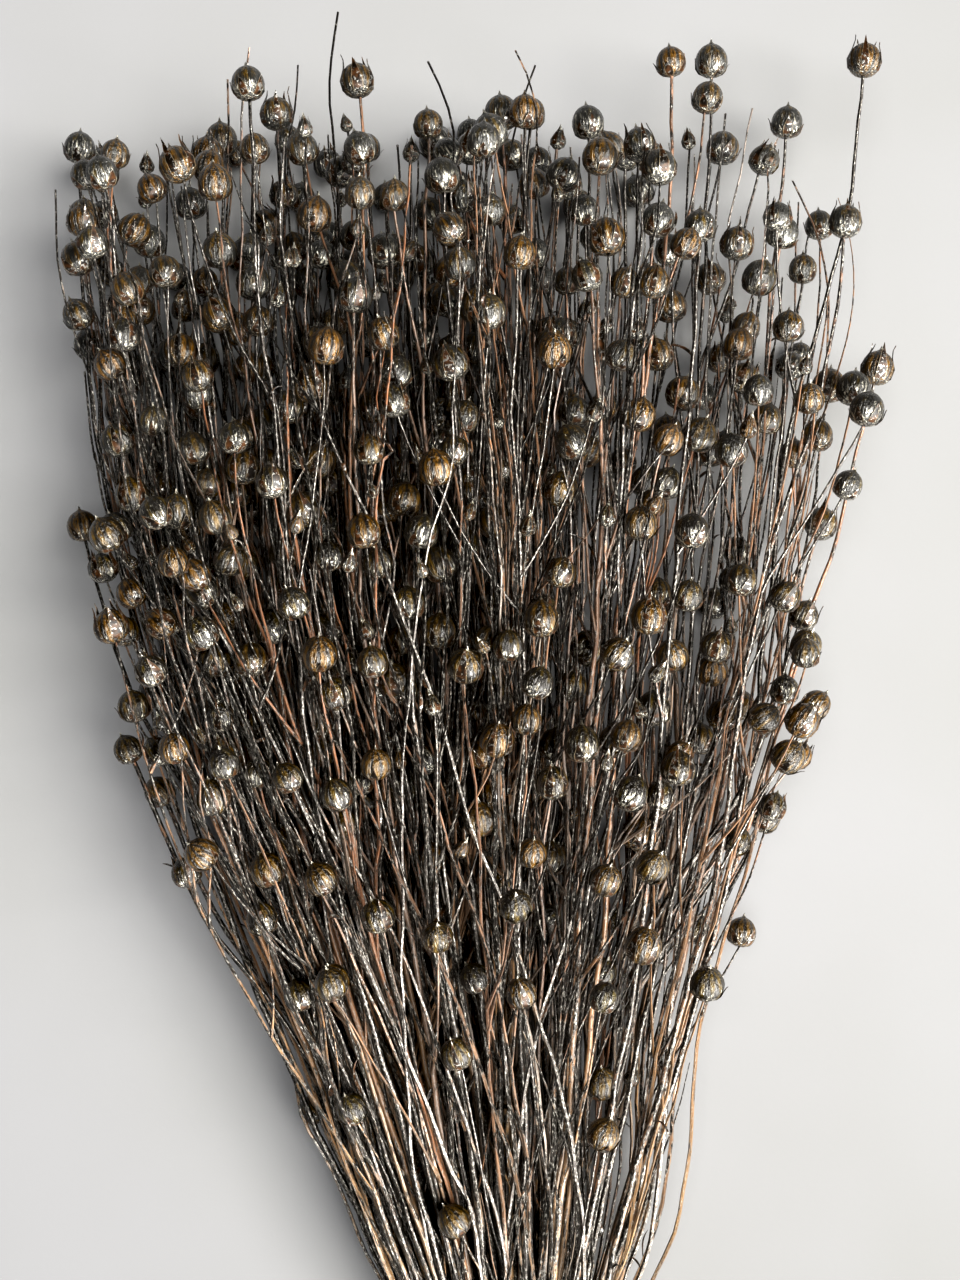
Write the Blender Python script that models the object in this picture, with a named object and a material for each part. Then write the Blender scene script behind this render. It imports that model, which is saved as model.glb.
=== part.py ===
# A bunch of dried flax, lying on a table with its heads towards +Y.
# Every plant is one solid: a stem with side shoots, and a round seed boll on the end of each shoot.
# The origin is on the table, under the middle of the rubber band that ties the stems.

import math
import random
from collections import defaultdict

import bmesh
import bpy
from mathutils import Vector

MM = 0.001
GOLDEN_ANGLE = math.pi * (3 - math.sqrt(5))
SEED = 19

# The bunch
PLANTS = 52
WAIST_RADIUS = 12 * MM  # ring of the outermost stem centres, inside the band
FAN_HALF_WIDTH = 93 * MM
FAN_HALF_DEPTH = 33 * MM
FAN_REACH = 150 * MM  # how far above the band the fan is mostly open
FAN_POWER = 1.6
FAN_LEAN = -13.5 * MM  # the heads lean to one side
STEM_OUTLIERS = 8 * MM  # how far past the fan's outline a stem may bend
SHOOT_OUTLIERS = 3 * MM  # how far past it a side shoot may end
FAN_SAG = 0.5  # how far the fan's two edges droop to the table
BUTT_FLARE = 0.1  # the stems' slope outwards below the band
BUTT_LENGTHS = (112 * MM, 136 * MM)  # from the band to the ragged cut ends
TALLEST_HEAD = 322 * MM
SHORTEST_HEAD = 140 * MM
HEIGHT_POWER = 2.6  # above 1, most plants are tall

# Stems and side shoots
THIRD = math.tau / 3  # stems have three sides
STEM_RADII = (1.25 * MM, 0.85 * MM, 0.5 * MM)  # at the cut end, at the fan's middle, under the head
TOUCH_GAP = 0.2 * MM  # between neighbours inside the band
TURN_STEPS = 24
STEM_MIDDLE = 190 * MM
LEVEL_STEP = 28 * MM  # a stem has a ring at each of these levels, and is straight between them
LEAST_TOP_SPAN = 11 * MM  # from the last level to the head
DIRECTION_REACH = 6 * MM  # how far to each side of a point a stem's direction is taken
SWAY = 1.3 * MM
SWAY_LENGTHS = (110 * MM, 190 * MM)
HEAD_BEND = 100 * MM  # the stretch under a head that bends towards its own place
PUSHES = 24  # rounds of pushing apart
PUSH_ROOM = 1.3 * MM
PUSH_START = 18 * MM
PUSH_STEP = 7 * MM
SHOOTS = 4  # at most, on one plant
HEADS = 230
SHOOT_RADII = (0.5 * MM, 0.36 * MM)
SHOOT_LENGTHS = (24 * MM, 58 * MM)
SHOOT_REACH = (7 * MM, 19 * MM)
SHOOT_FLATTEN = 0.62  # shoots spread less up and down than sideways
SHOOT_DROP = 19 * MM  # each shoot's head sits about this much below the last
SHOOT_DROP_SPREAD = (0.2, 1.5)
SHOOT_TURN_SPREAD = (-0.9, 0.9)
SHOOT_FIRST = 0.6  # golden angles from a plant's turn to its first shoot
SHOOT_CURVE = 0.35  # above 0, a shoot leaves steeply and then runs along its stem
SHOOT_STEPS = (0, 0.1, 0.5, 1)  # where it has a ring, as shares of its length
SHOOT_STAND_OFF = 1.3  # its first ring's middle to the stem's surface, as a share of its radius
SHOOT_OWN_SHARE = 0.4  # the share of its length in which it may be close to its own stem
FORK_LENGTH = 2.6 * MM
FORK_SPACING = 7 * MM
SHOOT_TRIES = 90

# Heads
HEAD_RADII = (3.35 * MM, 4.05 * MM)
BUD_RADIUS = 2.3 * MM
BUD_SHARE = 0.09
HEAD_TILT = 0.3
TOP_HEAD_TILT = 0.4  # a stem's own head tilts by this share of that
HEAD_SIDES = 6
# Height along the boll and width there, as shares of its radius
HEAD_PROFILE = ((0.3, 0.72), (0.98, 1.0), (1.64, 0.72))
HEAD_TIP = 2.34
HEAD_BALLS = ((1, 1.02), (2.1, 0.25))  # balls that stand for it when room is looked for

# Room kept between neighbours, more than the sampling below can miss
CLEAR = 0.6 * MM
SAMPLE_STEP = 1.5 * MM
CELL = 7 * MM

# Heads that stand out at the fan's edge: across, along and above the table, in mm
EDGE_HEADS = (
    (-104, 322, 22), (-100, 304, 30), (-102, 277, 17), (-104, 234, 20), (-90, 182, 24),
    (-84, 172, 17), (-56, 326, 34), (-35, 330, 46), (9, 326, 14), (16, 323, 38),
    (34, 335, 44), (43, 340, 27), (62, 329, 18), (77, 339, 32), (83, 270, 26),
    (72, 301, 38), (67, 254, 30), (70, 235, 16), (65, 213, 26), (58, 186, 15),
)
# Low heads on the bunch's upper side, carried by side shoots
FRONT_HEADS = (
    (-67, 159, 34), (-48, 128, 38), (-35, 88, 32), (-13, 78, 40), (7, 85, 41),
    (17, 98, 43), (-13, 118, 52), (-18, 145, 58), (17, 130, 53), (26, 160, 60),
)
# Heads that the bunch lies on: across and along, in mm
RESTING_HEADS = ((-58, 262), (38, 258), (-8, 216))
REST_HEIGHT = 0.85  # of a resting boll's middle above the table, as a share of its radius

# The band
BAND_WIDTH = 9 * MM
BAND_SIDES = 20
BAND_THICKNESS = 1.3 * MM
BAND_CHAMFER = 0.4 * MM
BAND_SLACK = 0.65 * MM
WAIST_HEIGHT = WAIST_RADIUS + STEM_RADII[0] + BAND_SLACK + BAND_THICKNESS  # band's middle

FLAX_COLOUR = (0.075, 0.056, 0.04, 1)
RUBBER_COLOUR = (0.53, 0.36, 0.17, 1)


def clear_scene():
    for obj in list(bpy.data.objects):
        bpy.data.objects.remove(obj, do_unlink=True)


def make_material(name, colour, roughness, metallic):
    material = bpy.data.materials.new(name)
    material.use_nodes = True
    shader = material.node_tree.nodes["Principled BSDF"]
    shader.inputs["Base Color"].default_value = colour
    shader.inputs["Roughness"].default_value = roughness
    shader.inputs["Metallic"].default_value = metallic
    return material


# The fan's form: where a stem runs that has the place (a, b) in the waist's round, of radius 1
def opened(y):
    return 1 - math.exp(-((max(y, 0) / FAN_REACH) ** FAN_POWER))


def half_size(y, full_size):
    """Half the fan's width or depth at height y, where full_size is what it opens to."""
    return WAIST_RADIUS + (full_size - WAIST_RADIUS) * opened(y) + BUTT_FLARE * max(-y, 0)


def flow_point(a, b, y):
    across = FAN_LEAN * opened(y) + a * half_size(y, FAN_HALF_WIDTH)
    low = WAIST_HEIGHT - WAIST_RADIUS
    up = low + half_size(y, FAN_HALF_DEPTH) * (1 + b - FAN_SAG * opened(y) * a * a)
    return Vector((across, y, up))


def waist_places():
    places = []
    for i in range(PLANTS):
        radius = math.sqrt((i + 0.5) / PLANTS)
        angle = i * GOLDEN_ANGLE
        places.append((radius * math.cos(angle), radius * math.sin(angle)))
    return places


def levels_below(top):
    """The levels of a stem's rings from just below the band up, none of them near the top."""
    levels = [-BAND_WIDTH / 2, BAND_WIDTH / 2]
    while levels[-1] + LEVEL_STEP + LEAST_TOP_SPAN < top:
        levels.append(levels[-1] + LEVEL_STEP)
    return levels


def samples_along(points, radii):
    """Round samples along a line through points, with the radius that the line has there."""
    ends = list(zip(points, radii))
    for (start, wide), (end, thin) in zip(ends, ends[1:]):
        count = math.ceil((end - start).length / SAMPLE_STEP)
        for k in range(1, count + 1):
            yield start.lerp(end, k / count), wide + (thin - wide) * k / count


def stem_radius(y, top):
    base, middle, tip = STEM_RADII
    if y < STEM_MIDDLE:
        return base + (middle - base) * max(y, 0) / STEM_MIDDLE
    return middle + (tip - middle) * min((y - STEM_MIDDLE) / max(top - STEM_MIDDLE, MM), 1)


class Room:
    """Round samples of all that is placed, in a grid of cells, so that new pieces keep clear."""

    def __init__(self):
        self.cells = defaultdict(list)

    def cell_of(self, point):
        return tuple(math.floor(c / CELL) for c in point)

    def add(self, point, radius, owner):
        self.cells[self.cell_of(point)].append((point, radius, owner))

    def is_clear(self, point, radius, owner=None):
        i, j, k = self.cell_of(point)
        reach = math.ceil((radius + HEAD_RADII[1] + CLEAR) / CELL)
        span = range(-reach, reach + 1)
        for key in ((i + x, j + y, k + z) for x in span for y in span for z in span):
            for other, other_radius, other_owner in self.cells.get(key, ()):
                if other_owner != owner and (point - other).length < radius + other_radius + CLEAR:
                    return False
        return True


class Head:
    """A round boll on the end of a shoot. base is where the shoot meets it."""

    def __init__(self, base, axis, radius, roll):
        self.base = base
        self.axis = axis.normalized()
        self.radius = radius
        self.roll = roll

    def along(self, height):
        return self.base + self.axis * self.radius * height

    def samples(self):
        return [(self.along(height), self.radius * size) for height, size in HEAD_BALLS]


class Plant:
    """A stem on its line of the fan, its own head, and its side shoots."""

    def __init__(self, number, place, rng):
        self.number = number
        self.a, self.b = place
        self.butt = -rng.uniform(*BUTT_LENGTHS)
        self.sway = (rng.uniform(*SWAY_LENGTHS), rng.uniform(0, math.tau), rng.uniform(0, math.tau))
        self.turn = rng.uniform(0, math.tau)
        self.radius = head_radius(rng)
        self.roll = rng.uniform(0, math.tau)
        self.tilt = random_tilt(rng)
        self.rests = False
        self.shoots = []

    def lay_out(self, top, target=None):
        """Runs the stem up the fan to top. With a target, its head bends over to lie there."""
        self.top = top
        self.levels = [self.butt] + levels_below(top) + [top]
        bend = Vector((0, 0, 0))
        if target:
            bend = target - flow_point(self.a, self.b, target.y)
            bend.y = 0
        self.knots = [self.free_point(y, bend) for y in self.levels]
        self.make_head()

    def free_point(self, y, bend):
        length, phase_x, phase_z = self.sway
        strength = SWAY * opened(y)
        wave = math.tau * y / length
        point = flow_point(self.a, self.b, y)
        point.x += strength * math.sin(wave + phase_x)
        point.z += strength * 0.6 * (1 + math.sin(wave + phase_z))
        t = min(max((y - self.top + HEAD_BEND) / HEAD_BEND, 0), 1)
        return point + bend * t * t * (3 - 2 * t)

    def span_at(self, y):
        """The knot above height y, and how far y is on the way to it from the knot below."""
        k = 1
        while k < len(self.levels) - 1 and self.levels[k] < y:
            k += 1
        return k, (y - self.levels[k - 1]) / (self.levels[k] - self.levels[k - 1])

    def axis_point(self, y):
        k, share = self.span_at(y)
        return self.knots[k - 1].lerp(self.knots[k], share)

    def axis_direction(self, y):
        ahead = self.axis_point(y + DIRECTION_REACH)
        return (ahead - self.axis_point(y - DIRECTION_REACH)).normalized()

    def make_head(self):
        axis = self.axis_direction(self.top) + self.tilt * TOP_HEAD_TILT
        if self.rests:
            axis.z = 0
        self.head = Head(self.knots[-1], axis, self.radius, self.roll)

    def stem_samples(self):
        return samples_along(self.knots, [stem_radius(y, self.top) for y in self.levels])

    def disc_at(self, y):
        """What this plant takes up at height y, as (point, radius): its stem or its head."""
        if y <= self.top:
            return self.axis_point(y), stem_radius(y, self.top)
        if y < self.top + 2 * self.radius + PUSH_STEP / 2:
            return self.knots[-1], self.radius
        return None

    def push(self, y, shift):
        k, share = self.span_at(min(y, self.top))
        low, high = shift * (1 - share), shift * share
        if k > 3:
            self.knots[k - 1] += low
        if k > 2:
            self.knots[k] += high


class Shoot:
    """A side shoot that leaves its plant's stem at fork and ends at the base of a head."""

    def __init__(self, plant, fork, end, radius, roll, tilt):
        self.plant = plant
        self.fork = fork
        self.end = end
        self.offset = end - plant.axis_point(end.y)
        direction = self.point(1) - self.point(1 - DIRECTION_REACH / (end.y - fork))
        self.head = Head(end, direction.normalized() + tilt, radius, roll)

    def point(self, t):
        y = self.fork + (self.end.y - self.fork) * t
        return self.plant.axis_point(y) + self.offset * t * (1 + SHOOT_CURVE * (1 - t))

    def samples(self):
        radii = [SHOOT_RADII[0]] * len(SHOOT_STEPS)
        return samples_along([self.point(t) for t in SHOOT_STEPS], radii)


def head_radius(rng):
    size = rng.uniform(*HEAD_RADII)
    return BUD_RADIUS if rng.random() < BUD_SHARE else size


def random_tilt(rng):
    return Vector(rng.uniform(-HEAD_TILT, HEAD_TILT) for _ in range(3))


def reach_towards(angle, roll):
    """How far a stem's corners reach from its middle in a direction."""
    return STEM_RADII[0] * max(math.cos(roll + THIRD * k - angle) for k in range(3))


def gap_if_turned(plant, roll, others):
    """The smallest gap inside the band between a stem turned to roll and the stems in others."""
    gaps = []
    for other in others:
        across, up = other.a - plant.a, other.b - plant.b
        angle = math.atan2(up, across)
        reach = reach_towards(angle, roll) + reach_towards(angle + math.pi, other.roll)
        gaps.append(math.hypot(across, up) * WAIST_RADIUS - reach)
    return min(gaps)


def turn_stems(plants):
    """Turns each stem so that it all but touches one of the stems nearer the middle."""
    turns = [THIRD * k / TURN_STEPS for k in range(TURN_STEPS)]
    for i, plant in enumerate(plants[1:], 1):
        plant.roll = min(turns, key=lambda t: abs(gap_if_turned(plant, t, plants[:i]) - TOUCH_GAP))


def target_of(place):
    return Vector(place) * MM


def nearest(plants, target):
    return min(plants, key=lambda p: (flow_point(p.a, p.b, target.y) - target).length)


def set_tops(plants, rng):
    """The heads named above go to the stems that run nearest to them, and the rest end by a rule."""
    free = list(plants)
    for across, along in RESTING_HEADS:
        plant = nearest(free, target_of((across, along, 0)))
        plant.radius = HEAD_RADII[1]
        plant.rests = True
        plant.lay_out(along * MM - plant.radius, target_of((across, along, 0)))
        free.remove(plant)
    for place in EDGE_HEADS:
        target = target_of(place)
        plant = nearest(free, target)
        plant.lay_out(target.y - plant.radius, target)
        free.remove(plant)
    order = sorted(free, key=lambda p: (p.number * GOLDEN_ANGLE) % 1)
    for k, plant in enumerate(order):
        drop = ((k + rng.random()) / len(order)) ** HEIGHT_POWER
        plant.lay_out(TALLEST_HEAD - (TALLEST_HEAD - SHORTEST_HEAD) * drop)


def push_apart(plants):
    """Moves stems and heads that come too near each other apart, height by height."""
    highest = max(plant.top for plant in plants) + LEVEL_STEP
    for _ in range(PUSHES):
        y = PUSH_START
        while y < highest:
            discs = [(plant, plant.disc_at(y)) for plant in plants]
            discs = [(plant, *disc) for plant, disc in discs if disc]
            for i, (plant, point, radius) in enumerate(discs):
                for neighbour, other, other_radius in discs[:i]:
                    away = point - other
                    away.y = 0
                    lack = radius + other_radius + PUSH_ROOM - away.length
                    if lack > 0:
                        shift = away.normalized() * lack / 2
                        plant.push(y, shift)
                        neighbour.push(y, -shift)
            y += PUSH_STEP
        for plant in plants:
            settle(plant)


def settle(plant):
    """Keeps a stem above the table, and a resting head on it."""
    for y, knot in zip(plant.levels, plant.knots):
        knot.z = max(knot.z, stem_radius(y, plant.top) + 2 * CLEAR)
        knot.x -= past_fan(knot, STEM_OUTLIERS)
    last = plant.knots[-1]
    last.z = max(last.z, plant.radius + 2 * CLEAR)
    if plant.rests:
        last.z = plant.radius * REST_HEIGHT


def past_fan(point, allowed):
    """How far a point lies outside the fan's outline widened by allowed, to the right or left."""
    across = point.x - FAN_LEAN * opened(point.y)
    past = max(abs(across) - half_size(point.y, FAN_HALF_WIDTH) - allowed, 0)
    return math.copysign(past, across)


def room_for(room, shoot):
    """True if the shoot and its head keep clear of all that is placed and of the table."""
    if past_fan(shoot.end, SHOOT_OUTLIERS):
        return False
    for point, radius in shoot.head.samples():
        if point.z < radius + CLEAR or not room.is_clear(point, radius):
            return False
    for point, radius in shoot.samples():
        near_fork = point.y < shoot.fork + (shoot.end.y - shoot.fork) * SHOOT_OWN_SHARE
        if not room.is_clear(point, radius, shoot.plant.number if near_fork else None):
            return False
    return True


def place_shoot(room, shoot):
    owner = (shoot.plant.number, len(shoot.plant.shoots))
    for point, radius in list(shoot.samples()) + shoot.head.samples():
        room.add(point, radius, owner)
    shoot.plant.shoots.append(shoot)


def fork_is_free(plant, fork):
    forks = [s.fork for s in plant.shoots]
    return fork < plant.top - 2 * FORK_LENGTH and all(abs(fork - f) > FORK_SPACING for f in forks)


def drawn_shoot(plant, step, rng):
    """A shoot by the rule: each turns by the golden angle and ends lower than the one before."""
    end_y = plant.top - SHOOT_DROP * (step + rng.uniform(*SHOOT_DROP_SPREAD))
    fork = end_y - rng.uniform(*SHOOT_LENGTHS)
    angle = plant.turn + GOLDEN_ANGLE * (step + SHOOT_FIRST) + rng.uniform(*SHOOT_TURN_SPREAD)
    reach = rng.uniform(*SHOOT_REACH)
    offset = Vector((math.cos(angle), 0, math.sin(angle) * SHOOT_FLATTEN)) * reach
    end = plant.axis_point(end_y) + offset
    return Shoot(plant, fork, end, head_radius(rng), rng.uniform(0, math.tau), random_tilt(rng))


def add_front_heads(plants, room, rng):
    for place in FRONT_HEADS:
        target = target_of(place)
        tall = [p for p in plants if p.top > target.y + HEAD_BEND / 2 and len(p.shoots) < SHOOTS]
        for plant in sorted(tall, key=lambda p: (p.axis_point(target.y) - target).length):
            if (plant.axis_point(target.y) - target).length < SHOOT_REACH[0]:
                continue
            fork = target.y - rng.uniform(*SHOOT_LENGTHS)
            radius = rng.uniform(*HEAD_RADII)
            end = target - Vector((0, radius, 0))
            roll = rng.uniform(0, math.tau)
            shoot = Shoot(plant, fork, end, radius, roll, random_tilt(rng))
            if fork_is_free(plant, fork) and room_for(room, shoot):
                place_shoot(room, shoot)
                break


def plan_bunch():
    rng = random.Random(SEED)
    plants = [Plant(i, place, rng) for i, place in enumerate(waist_places())]
    turn_stems(plants)
    set_tops(plants, rng)
    push_apart(plants)
    room = Room()
    for plant in plants:
        plant.make_head()
        for point, radius in list(plant.stem_samples()) + plant.head.samples():
            room.add(point, radius, plant.number)
    add_front_heads(plants, room, rng)
    for step in range(SHOOTS):
        for plant in plants:
            if len(plant.shoots) > step or head_count(plants) >= HEADS:
                continue
            for _ in range(SHOOT_TRIES):
                shoot = drawn_shoot(plant, step, rng)
                if fork_is_free(plant, shoot.fork) and room_for(room, shoot):
                    place_shoot(room, shoot)
                    break
    return plants


def head_count(plants):
    return sum(1 + len(plant.shoots) for plant in plants)


# Making the solids
def side_vectors(axis, roll):
    """Two directions square to axis. With the axis along +Y and no roll they are +X and +Z."""
    side = Vector((1, 0, 0))
    side = (side - axis * side.dot(axis)).normalized()
    up = side.cross(axis)
    return side * math.cos(roll) + up * math.sin(roll), up * math.cos(roll) - side * math.sin(roll)


def round_points(centre, side, across, radius, count):
    angles = [math.tau * k / count for k in range(count)]
    return [centre + side * radius * math.cos(t) + across * radius * math.sin(t) for t in angles]


def new_ring(bm, points):
    return [bm.verts.new(p) for p in points]


def middle_of(verts):
    return sum((v.co for v in verts), Vector()) / len(verts)


def bulging_quad(bm, corners, middle):
    """Two triangles over four corners, split along the diagonal that is further from middle."""
    a, b, c, d = corners
    if ((a.co + c.co) / 2 - middle).length < ((b.co + d.co) / 2 - middle).length:
        a, b, c, d = b, c, d, a
    bm.faces.new((a, b, c))
    bm.faces.new((a, c, d))


def skin(bm, low, high):
    """Faces between two rings, the upper with as many corners as the lower or twice as many."""
    count = len(low)
    ratio = len(high) // count
    middle = middle_of(low + high)
    for i in range(count):
        j = (i + 1) % count
        if ratio == 1:
            bulging_quad(bm, (low[i], low[j], high[j], high[i]), middle)
            continue
        first, second, third = high[2 * i], high[2 * i + 1], high[(2 * i + 2) % len(high)]
        bm.faces.new((low[i], second, first))
        bm.faces.new((low[i], low[j], second))
        bm.faces.new((low[j], third, second))


def add_head(bm, head, neck):
    """Grows a boll from the last ring of its shoot, its corners in line with the ring's."""
    start = neck[0].co - head.base
    rings = []
    for height, width in HEAD_PROFILE:
        centre = head.along(height)
        side, across = matched_vectors(head.axis, start, neck, head.base)
        rings.append(new_ring(bm, round_points(centre, side, across, head.radius * width, HEAD_SIDES)))
    skin(bm, neck, rings[0])
    for low, high in zip(rings, rings[1:]):
        skin(bm, low, high)
    tip = bm.verts.new(head.along(HEAD_TIP))
    last = rings[-1]
    for i, vert in enumerate(last):
        bm.faces.new((vert, last[(i + 1) % HEAD_SIDES], tip))


def matched_vectors(axis, start, ring, centre):
    """Directions square to axis that start at the ring's first corner and turn the way it turns."""
    side = (start - axis * start.dot(axis)).normalized()
    across = axis.cross(side)
    if across.dot(ring[1].co - centre) < 0:
        across = -across
    return side, across


def add_shoot(bm, shoot, root):
    """Grows a shoot out of a three-cornered face of the stem, and a boll on its end."""
    centre = middle_of(root)
    ring = root
    for t in SHOOT_STEPS[1:]:
        point = shoot.point(t)
        if t == SHOOT_STEPS[1]:
            stem = shoot.plant.axis_point(point.y)
            least = stem_radius(point.y, shoot.plant.top) + SHOOT_RADII[0] * SHOOT_STAND_OFF
            away = point - stem
            point = stem + away.normalized() * max(away.length, least)
        axis = (point - centre).normalized()
        side, across = matched_vectors(axis, ring[0].co - centre, ring, centre)
        radius = SHOOT_RADII[0] + (SHOOT_RADII[1] - SHOOT_RADII[0]) * t
        new = new_ring(bm, round_points(point, side, across, radius, 3))
        skin(bm, ring, new)
        ring, centre = new, point
    add_head(bm, shoot.head, ring)


def stem_stations(plant):
    """Places along a stem that get a ring, as (y, shoot or None). A shoot grows above its own."""
    stations = [(y, None) for y in plant.levels]
    for shoot in plant.shoots:
        low, high = shoot.fork - FORK_LENGTH / 2, shoot.fork + FORK_LENGTH / 2
        stations = [s for s in stations if s[1] or not low - FORK_LENGTH < s[0] < high + FORK_LENGTH]
        stations += [(low, shoot), (high, None)]
    return sorted(stations, key=lambda s: s[0])


def shoot_azimuth(shoot):
    return math.atan2(shoot.offset.z, shoot.offset.x)


def make_plant(plant, material):
    """One solid: a three-sided stem, turned so that a side faces each shoot that leaves it."""
    bm = bmesh.new()
    roll = plant.roll
    rings = []
    roots = []
    shoot_below = None
    for y, shoot in stem_stations(plant):
        if shoot:
            wanted = shoot_azimuth(shoot) - THIRD / 2
            roll += (wanted - roll + THIRD / 2) % THIRD - THIRD / 2
        axis = plant.axis_direction(y)
        side, across = side_vectors(axis, roll)
        centre = plant.axis_point(y)
        ring = new_ring(bm, round_points(centre, side, across, stem_radius(y, plant.top), 3))
        if rings and shoot_below:
            roots.append((shoot_below, open_fork(bm, rings[-1], ring, centre, shoot_below)))
        elif rings:
            skin(bm, rings[-1], ring)
        rings.append(ring)
        shoot_below = shoot
    bm.faces.new(rings[0])
    add_head(bm, plant.head, rings[-1])
    for shoot, root in roots:
        add_shoot(bm, shoot, root)
    return finish_mesh(bm, f"plant_{plant.number + 1:02d}", material)


def open_fork(bm, low, high, centre, shoot):
    """Closes the stem between two rings, but for a triangle on the side that the shoot leaves."""
    out = Vector((shoot.offset.x, 0, shoot.offset.z)).normalized()
    facing = [(low[i].co + low[(i + 1) % 3].co) / 2 - centre for i in range(3)]
    front = max(range(3), key=lambda i: facing[i].dot(out))
    for i in range(3):
        j = (i + 1) % 3
        if i == front:
            bm.faces.new((low[i], low[j], high[i]))
            root = [low[j], high[j], high[i]]
        else:
            bulging_quad(bm, (low[i], low[j], high[j], high[i]), middle_of(low + high))
    return root


def finish_mesh(bm, name, material):
    bmesh.ops.recalc_face_normals(bm, faces=bm.faces)
    for vert in bm.verts:
        vert.co.z = max(vert.co.z, 0)
    mesh = bpy.data.meshes.new(name)
    bm.to_mesh(mesh)
    bm.free()
    mesh.shade_smooth()
    mesh.set_sharp_from_angle(angle=math.radians(50))
    mesh.materials.append(material)
    obj = bpy.data.objects.new(name, mesh)
    bpy.context.scene.collection.objects.link(obj)
    return obj


def make_band(material):
    """The rubber band: a ring with a flat side down, its profile turned about +Y."""
    # The flat sides lie on the table, so the corners stand further out than the band's height
    corner = 1 / math.cos(math.pi / BAND_SIDES)
    outer = WAIST_HEIGHT * corner
    inner = (WAIST_HEIGHT - BAND_THICKNESS) * corner
    half = BAND_WIDTH / 2
    profile = (
        (-half, inner), (-half, outer - BAND_CHAMFER), (-half + BAND_CHAMFER, outer),
        (half - BAND_CHAMFER, outer), (half, outer - BAND_CHAMFER), (half, inner),
    )
    bm = bmesh.new()
    loops = []
    for k in range(BAND_SIDES):
        angle = math.tau * (k + 0.5) / BAND_SIDES - math.pi / 2
        out = Vector((math.cos(angle), 0, math.sin(angle)))
        middle = Vector((0, 0, WAIST_HEIGHT))
        loops.append(new_ring(bm, [middle + out * radius + Vector((0, y, 0)) for y, radius in profile]))
    for k, loop in enumerate(loops):
        skin(bm, loop, loops[(k + 1) % BAND_SIDES])
    return finish_mesh(bm, "tie_band", material)


def main():
    clear_scene()
    flax = make_material("painted_flax", FLAX_COLOUR, 0.4, 0.3)
    rubber = make_material("natural_rubber", RUBBER_COLOUR, 0.6, 0)
    plants = plan_bunch()
    for plant in plants:
        make_plant(plant, flax)
    make_band(rubber)


main()
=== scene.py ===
# Dried flax, sprayed black and graphite, laid on a pale table and seen from above.
# The bunch is planned first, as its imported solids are, so that every fine piece lies where its solid is.
import math
import random
from collections import defaultdict
from functools import partial
from itertools import zip_longest
from types import SimpleNamespace

import bpy
import numpy as np
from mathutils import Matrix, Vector


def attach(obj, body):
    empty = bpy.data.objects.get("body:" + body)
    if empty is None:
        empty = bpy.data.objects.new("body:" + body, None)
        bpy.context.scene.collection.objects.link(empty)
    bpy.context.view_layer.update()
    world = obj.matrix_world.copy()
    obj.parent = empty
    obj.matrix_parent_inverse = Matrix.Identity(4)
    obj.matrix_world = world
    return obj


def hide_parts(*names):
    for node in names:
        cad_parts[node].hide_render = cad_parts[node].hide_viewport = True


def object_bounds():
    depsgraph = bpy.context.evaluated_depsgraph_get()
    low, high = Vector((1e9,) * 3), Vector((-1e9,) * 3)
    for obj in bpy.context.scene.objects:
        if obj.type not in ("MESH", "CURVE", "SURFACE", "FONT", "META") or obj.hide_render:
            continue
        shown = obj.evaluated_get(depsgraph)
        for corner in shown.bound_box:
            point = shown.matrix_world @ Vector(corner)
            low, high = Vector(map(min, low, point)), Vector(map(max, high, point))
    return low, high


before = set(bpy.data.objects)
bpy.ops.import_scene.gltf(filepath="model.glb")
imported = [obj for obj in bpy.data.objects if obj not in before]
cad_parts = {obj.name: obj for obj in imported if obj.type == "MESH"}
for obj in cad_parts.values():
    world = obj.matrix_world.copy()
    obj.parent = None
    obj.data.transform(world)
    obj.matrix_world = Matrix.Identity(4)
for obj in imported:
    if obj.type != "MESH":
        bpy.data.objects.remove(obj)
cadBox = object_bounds()
print("frame loaded:", len(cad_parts), "nodes")

mm = 0.001
goldenAngle = math.pi * (3 - math.sqrt(5))

# How the whole bunch lies: fanned out above the band, drooping to the table at both edges
fan = {
    "seed": 19,
    "plants": 52,
    "waistRadius": 12 * mm,
    "halfWidth": 93 * mm,
    "halfDepth": 33 * mm,
    "reach": 150 * mm,
    "power": 1.6,
    "lean": -13.5 * mm,
    "sag": 0.5,
    "buttFlare": 0.1,
    "stemOutliers": 8 * mm,
    "shootOutliers": 3 * mm,
    "bandWidth": 9 * mm,
    "bandSlack": 0.65 * mm,
    "bandThickness": 1.3 * mm,
}

stem = {
    "radii": (1.25 * mm, 0.85 * mm, 0.5 * mm),  # of the three-sided solid
    "roundness": 0.72,  # a round stem of the same look is this much of that
    "middle": 190 * mm,
    "buttLengths": (112 * mm, 136 * mm),
    "tallest": 322 * mm,
    "shortest": 140 * mm,
    "heightPower": 2.6,
    "levelStep": 28 * mm,
    "leastTopSpan": 11 * mm,
    "sway": 1.3 * mm,
    "swayLengths": (110 * mm, 190 * mm),
    "headBend": 100 * mm,
    "pushes": 24,
    "pushRoom": 1.3 * mm,
    "pushStart": 18 * mm,
    "pushStep": 7 * mm,
}

shootRule = {
    "most": 4,
    "radii": (0.5 * mm, 0.36 * mm),
    "lengths": (24 * mm, 58 * mm),
    "reach": (7 * mm, 19 * mm),
    "flatten": 0.62,
    "drop": 19 * mm,
    "dropSpread": (0.2, 1.5),
    "turnSpread": (-0.9, 0.9),
    "first": 0.6,
    "curve": 0.35,
    "steps": (0, 0.1, 0.5, 1),
    "ownShare": 0.4,
    "forkLength": 2.6 * mm,
    "forkSpacing": 7 * mm,
    "tries": 90,
}

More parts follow.
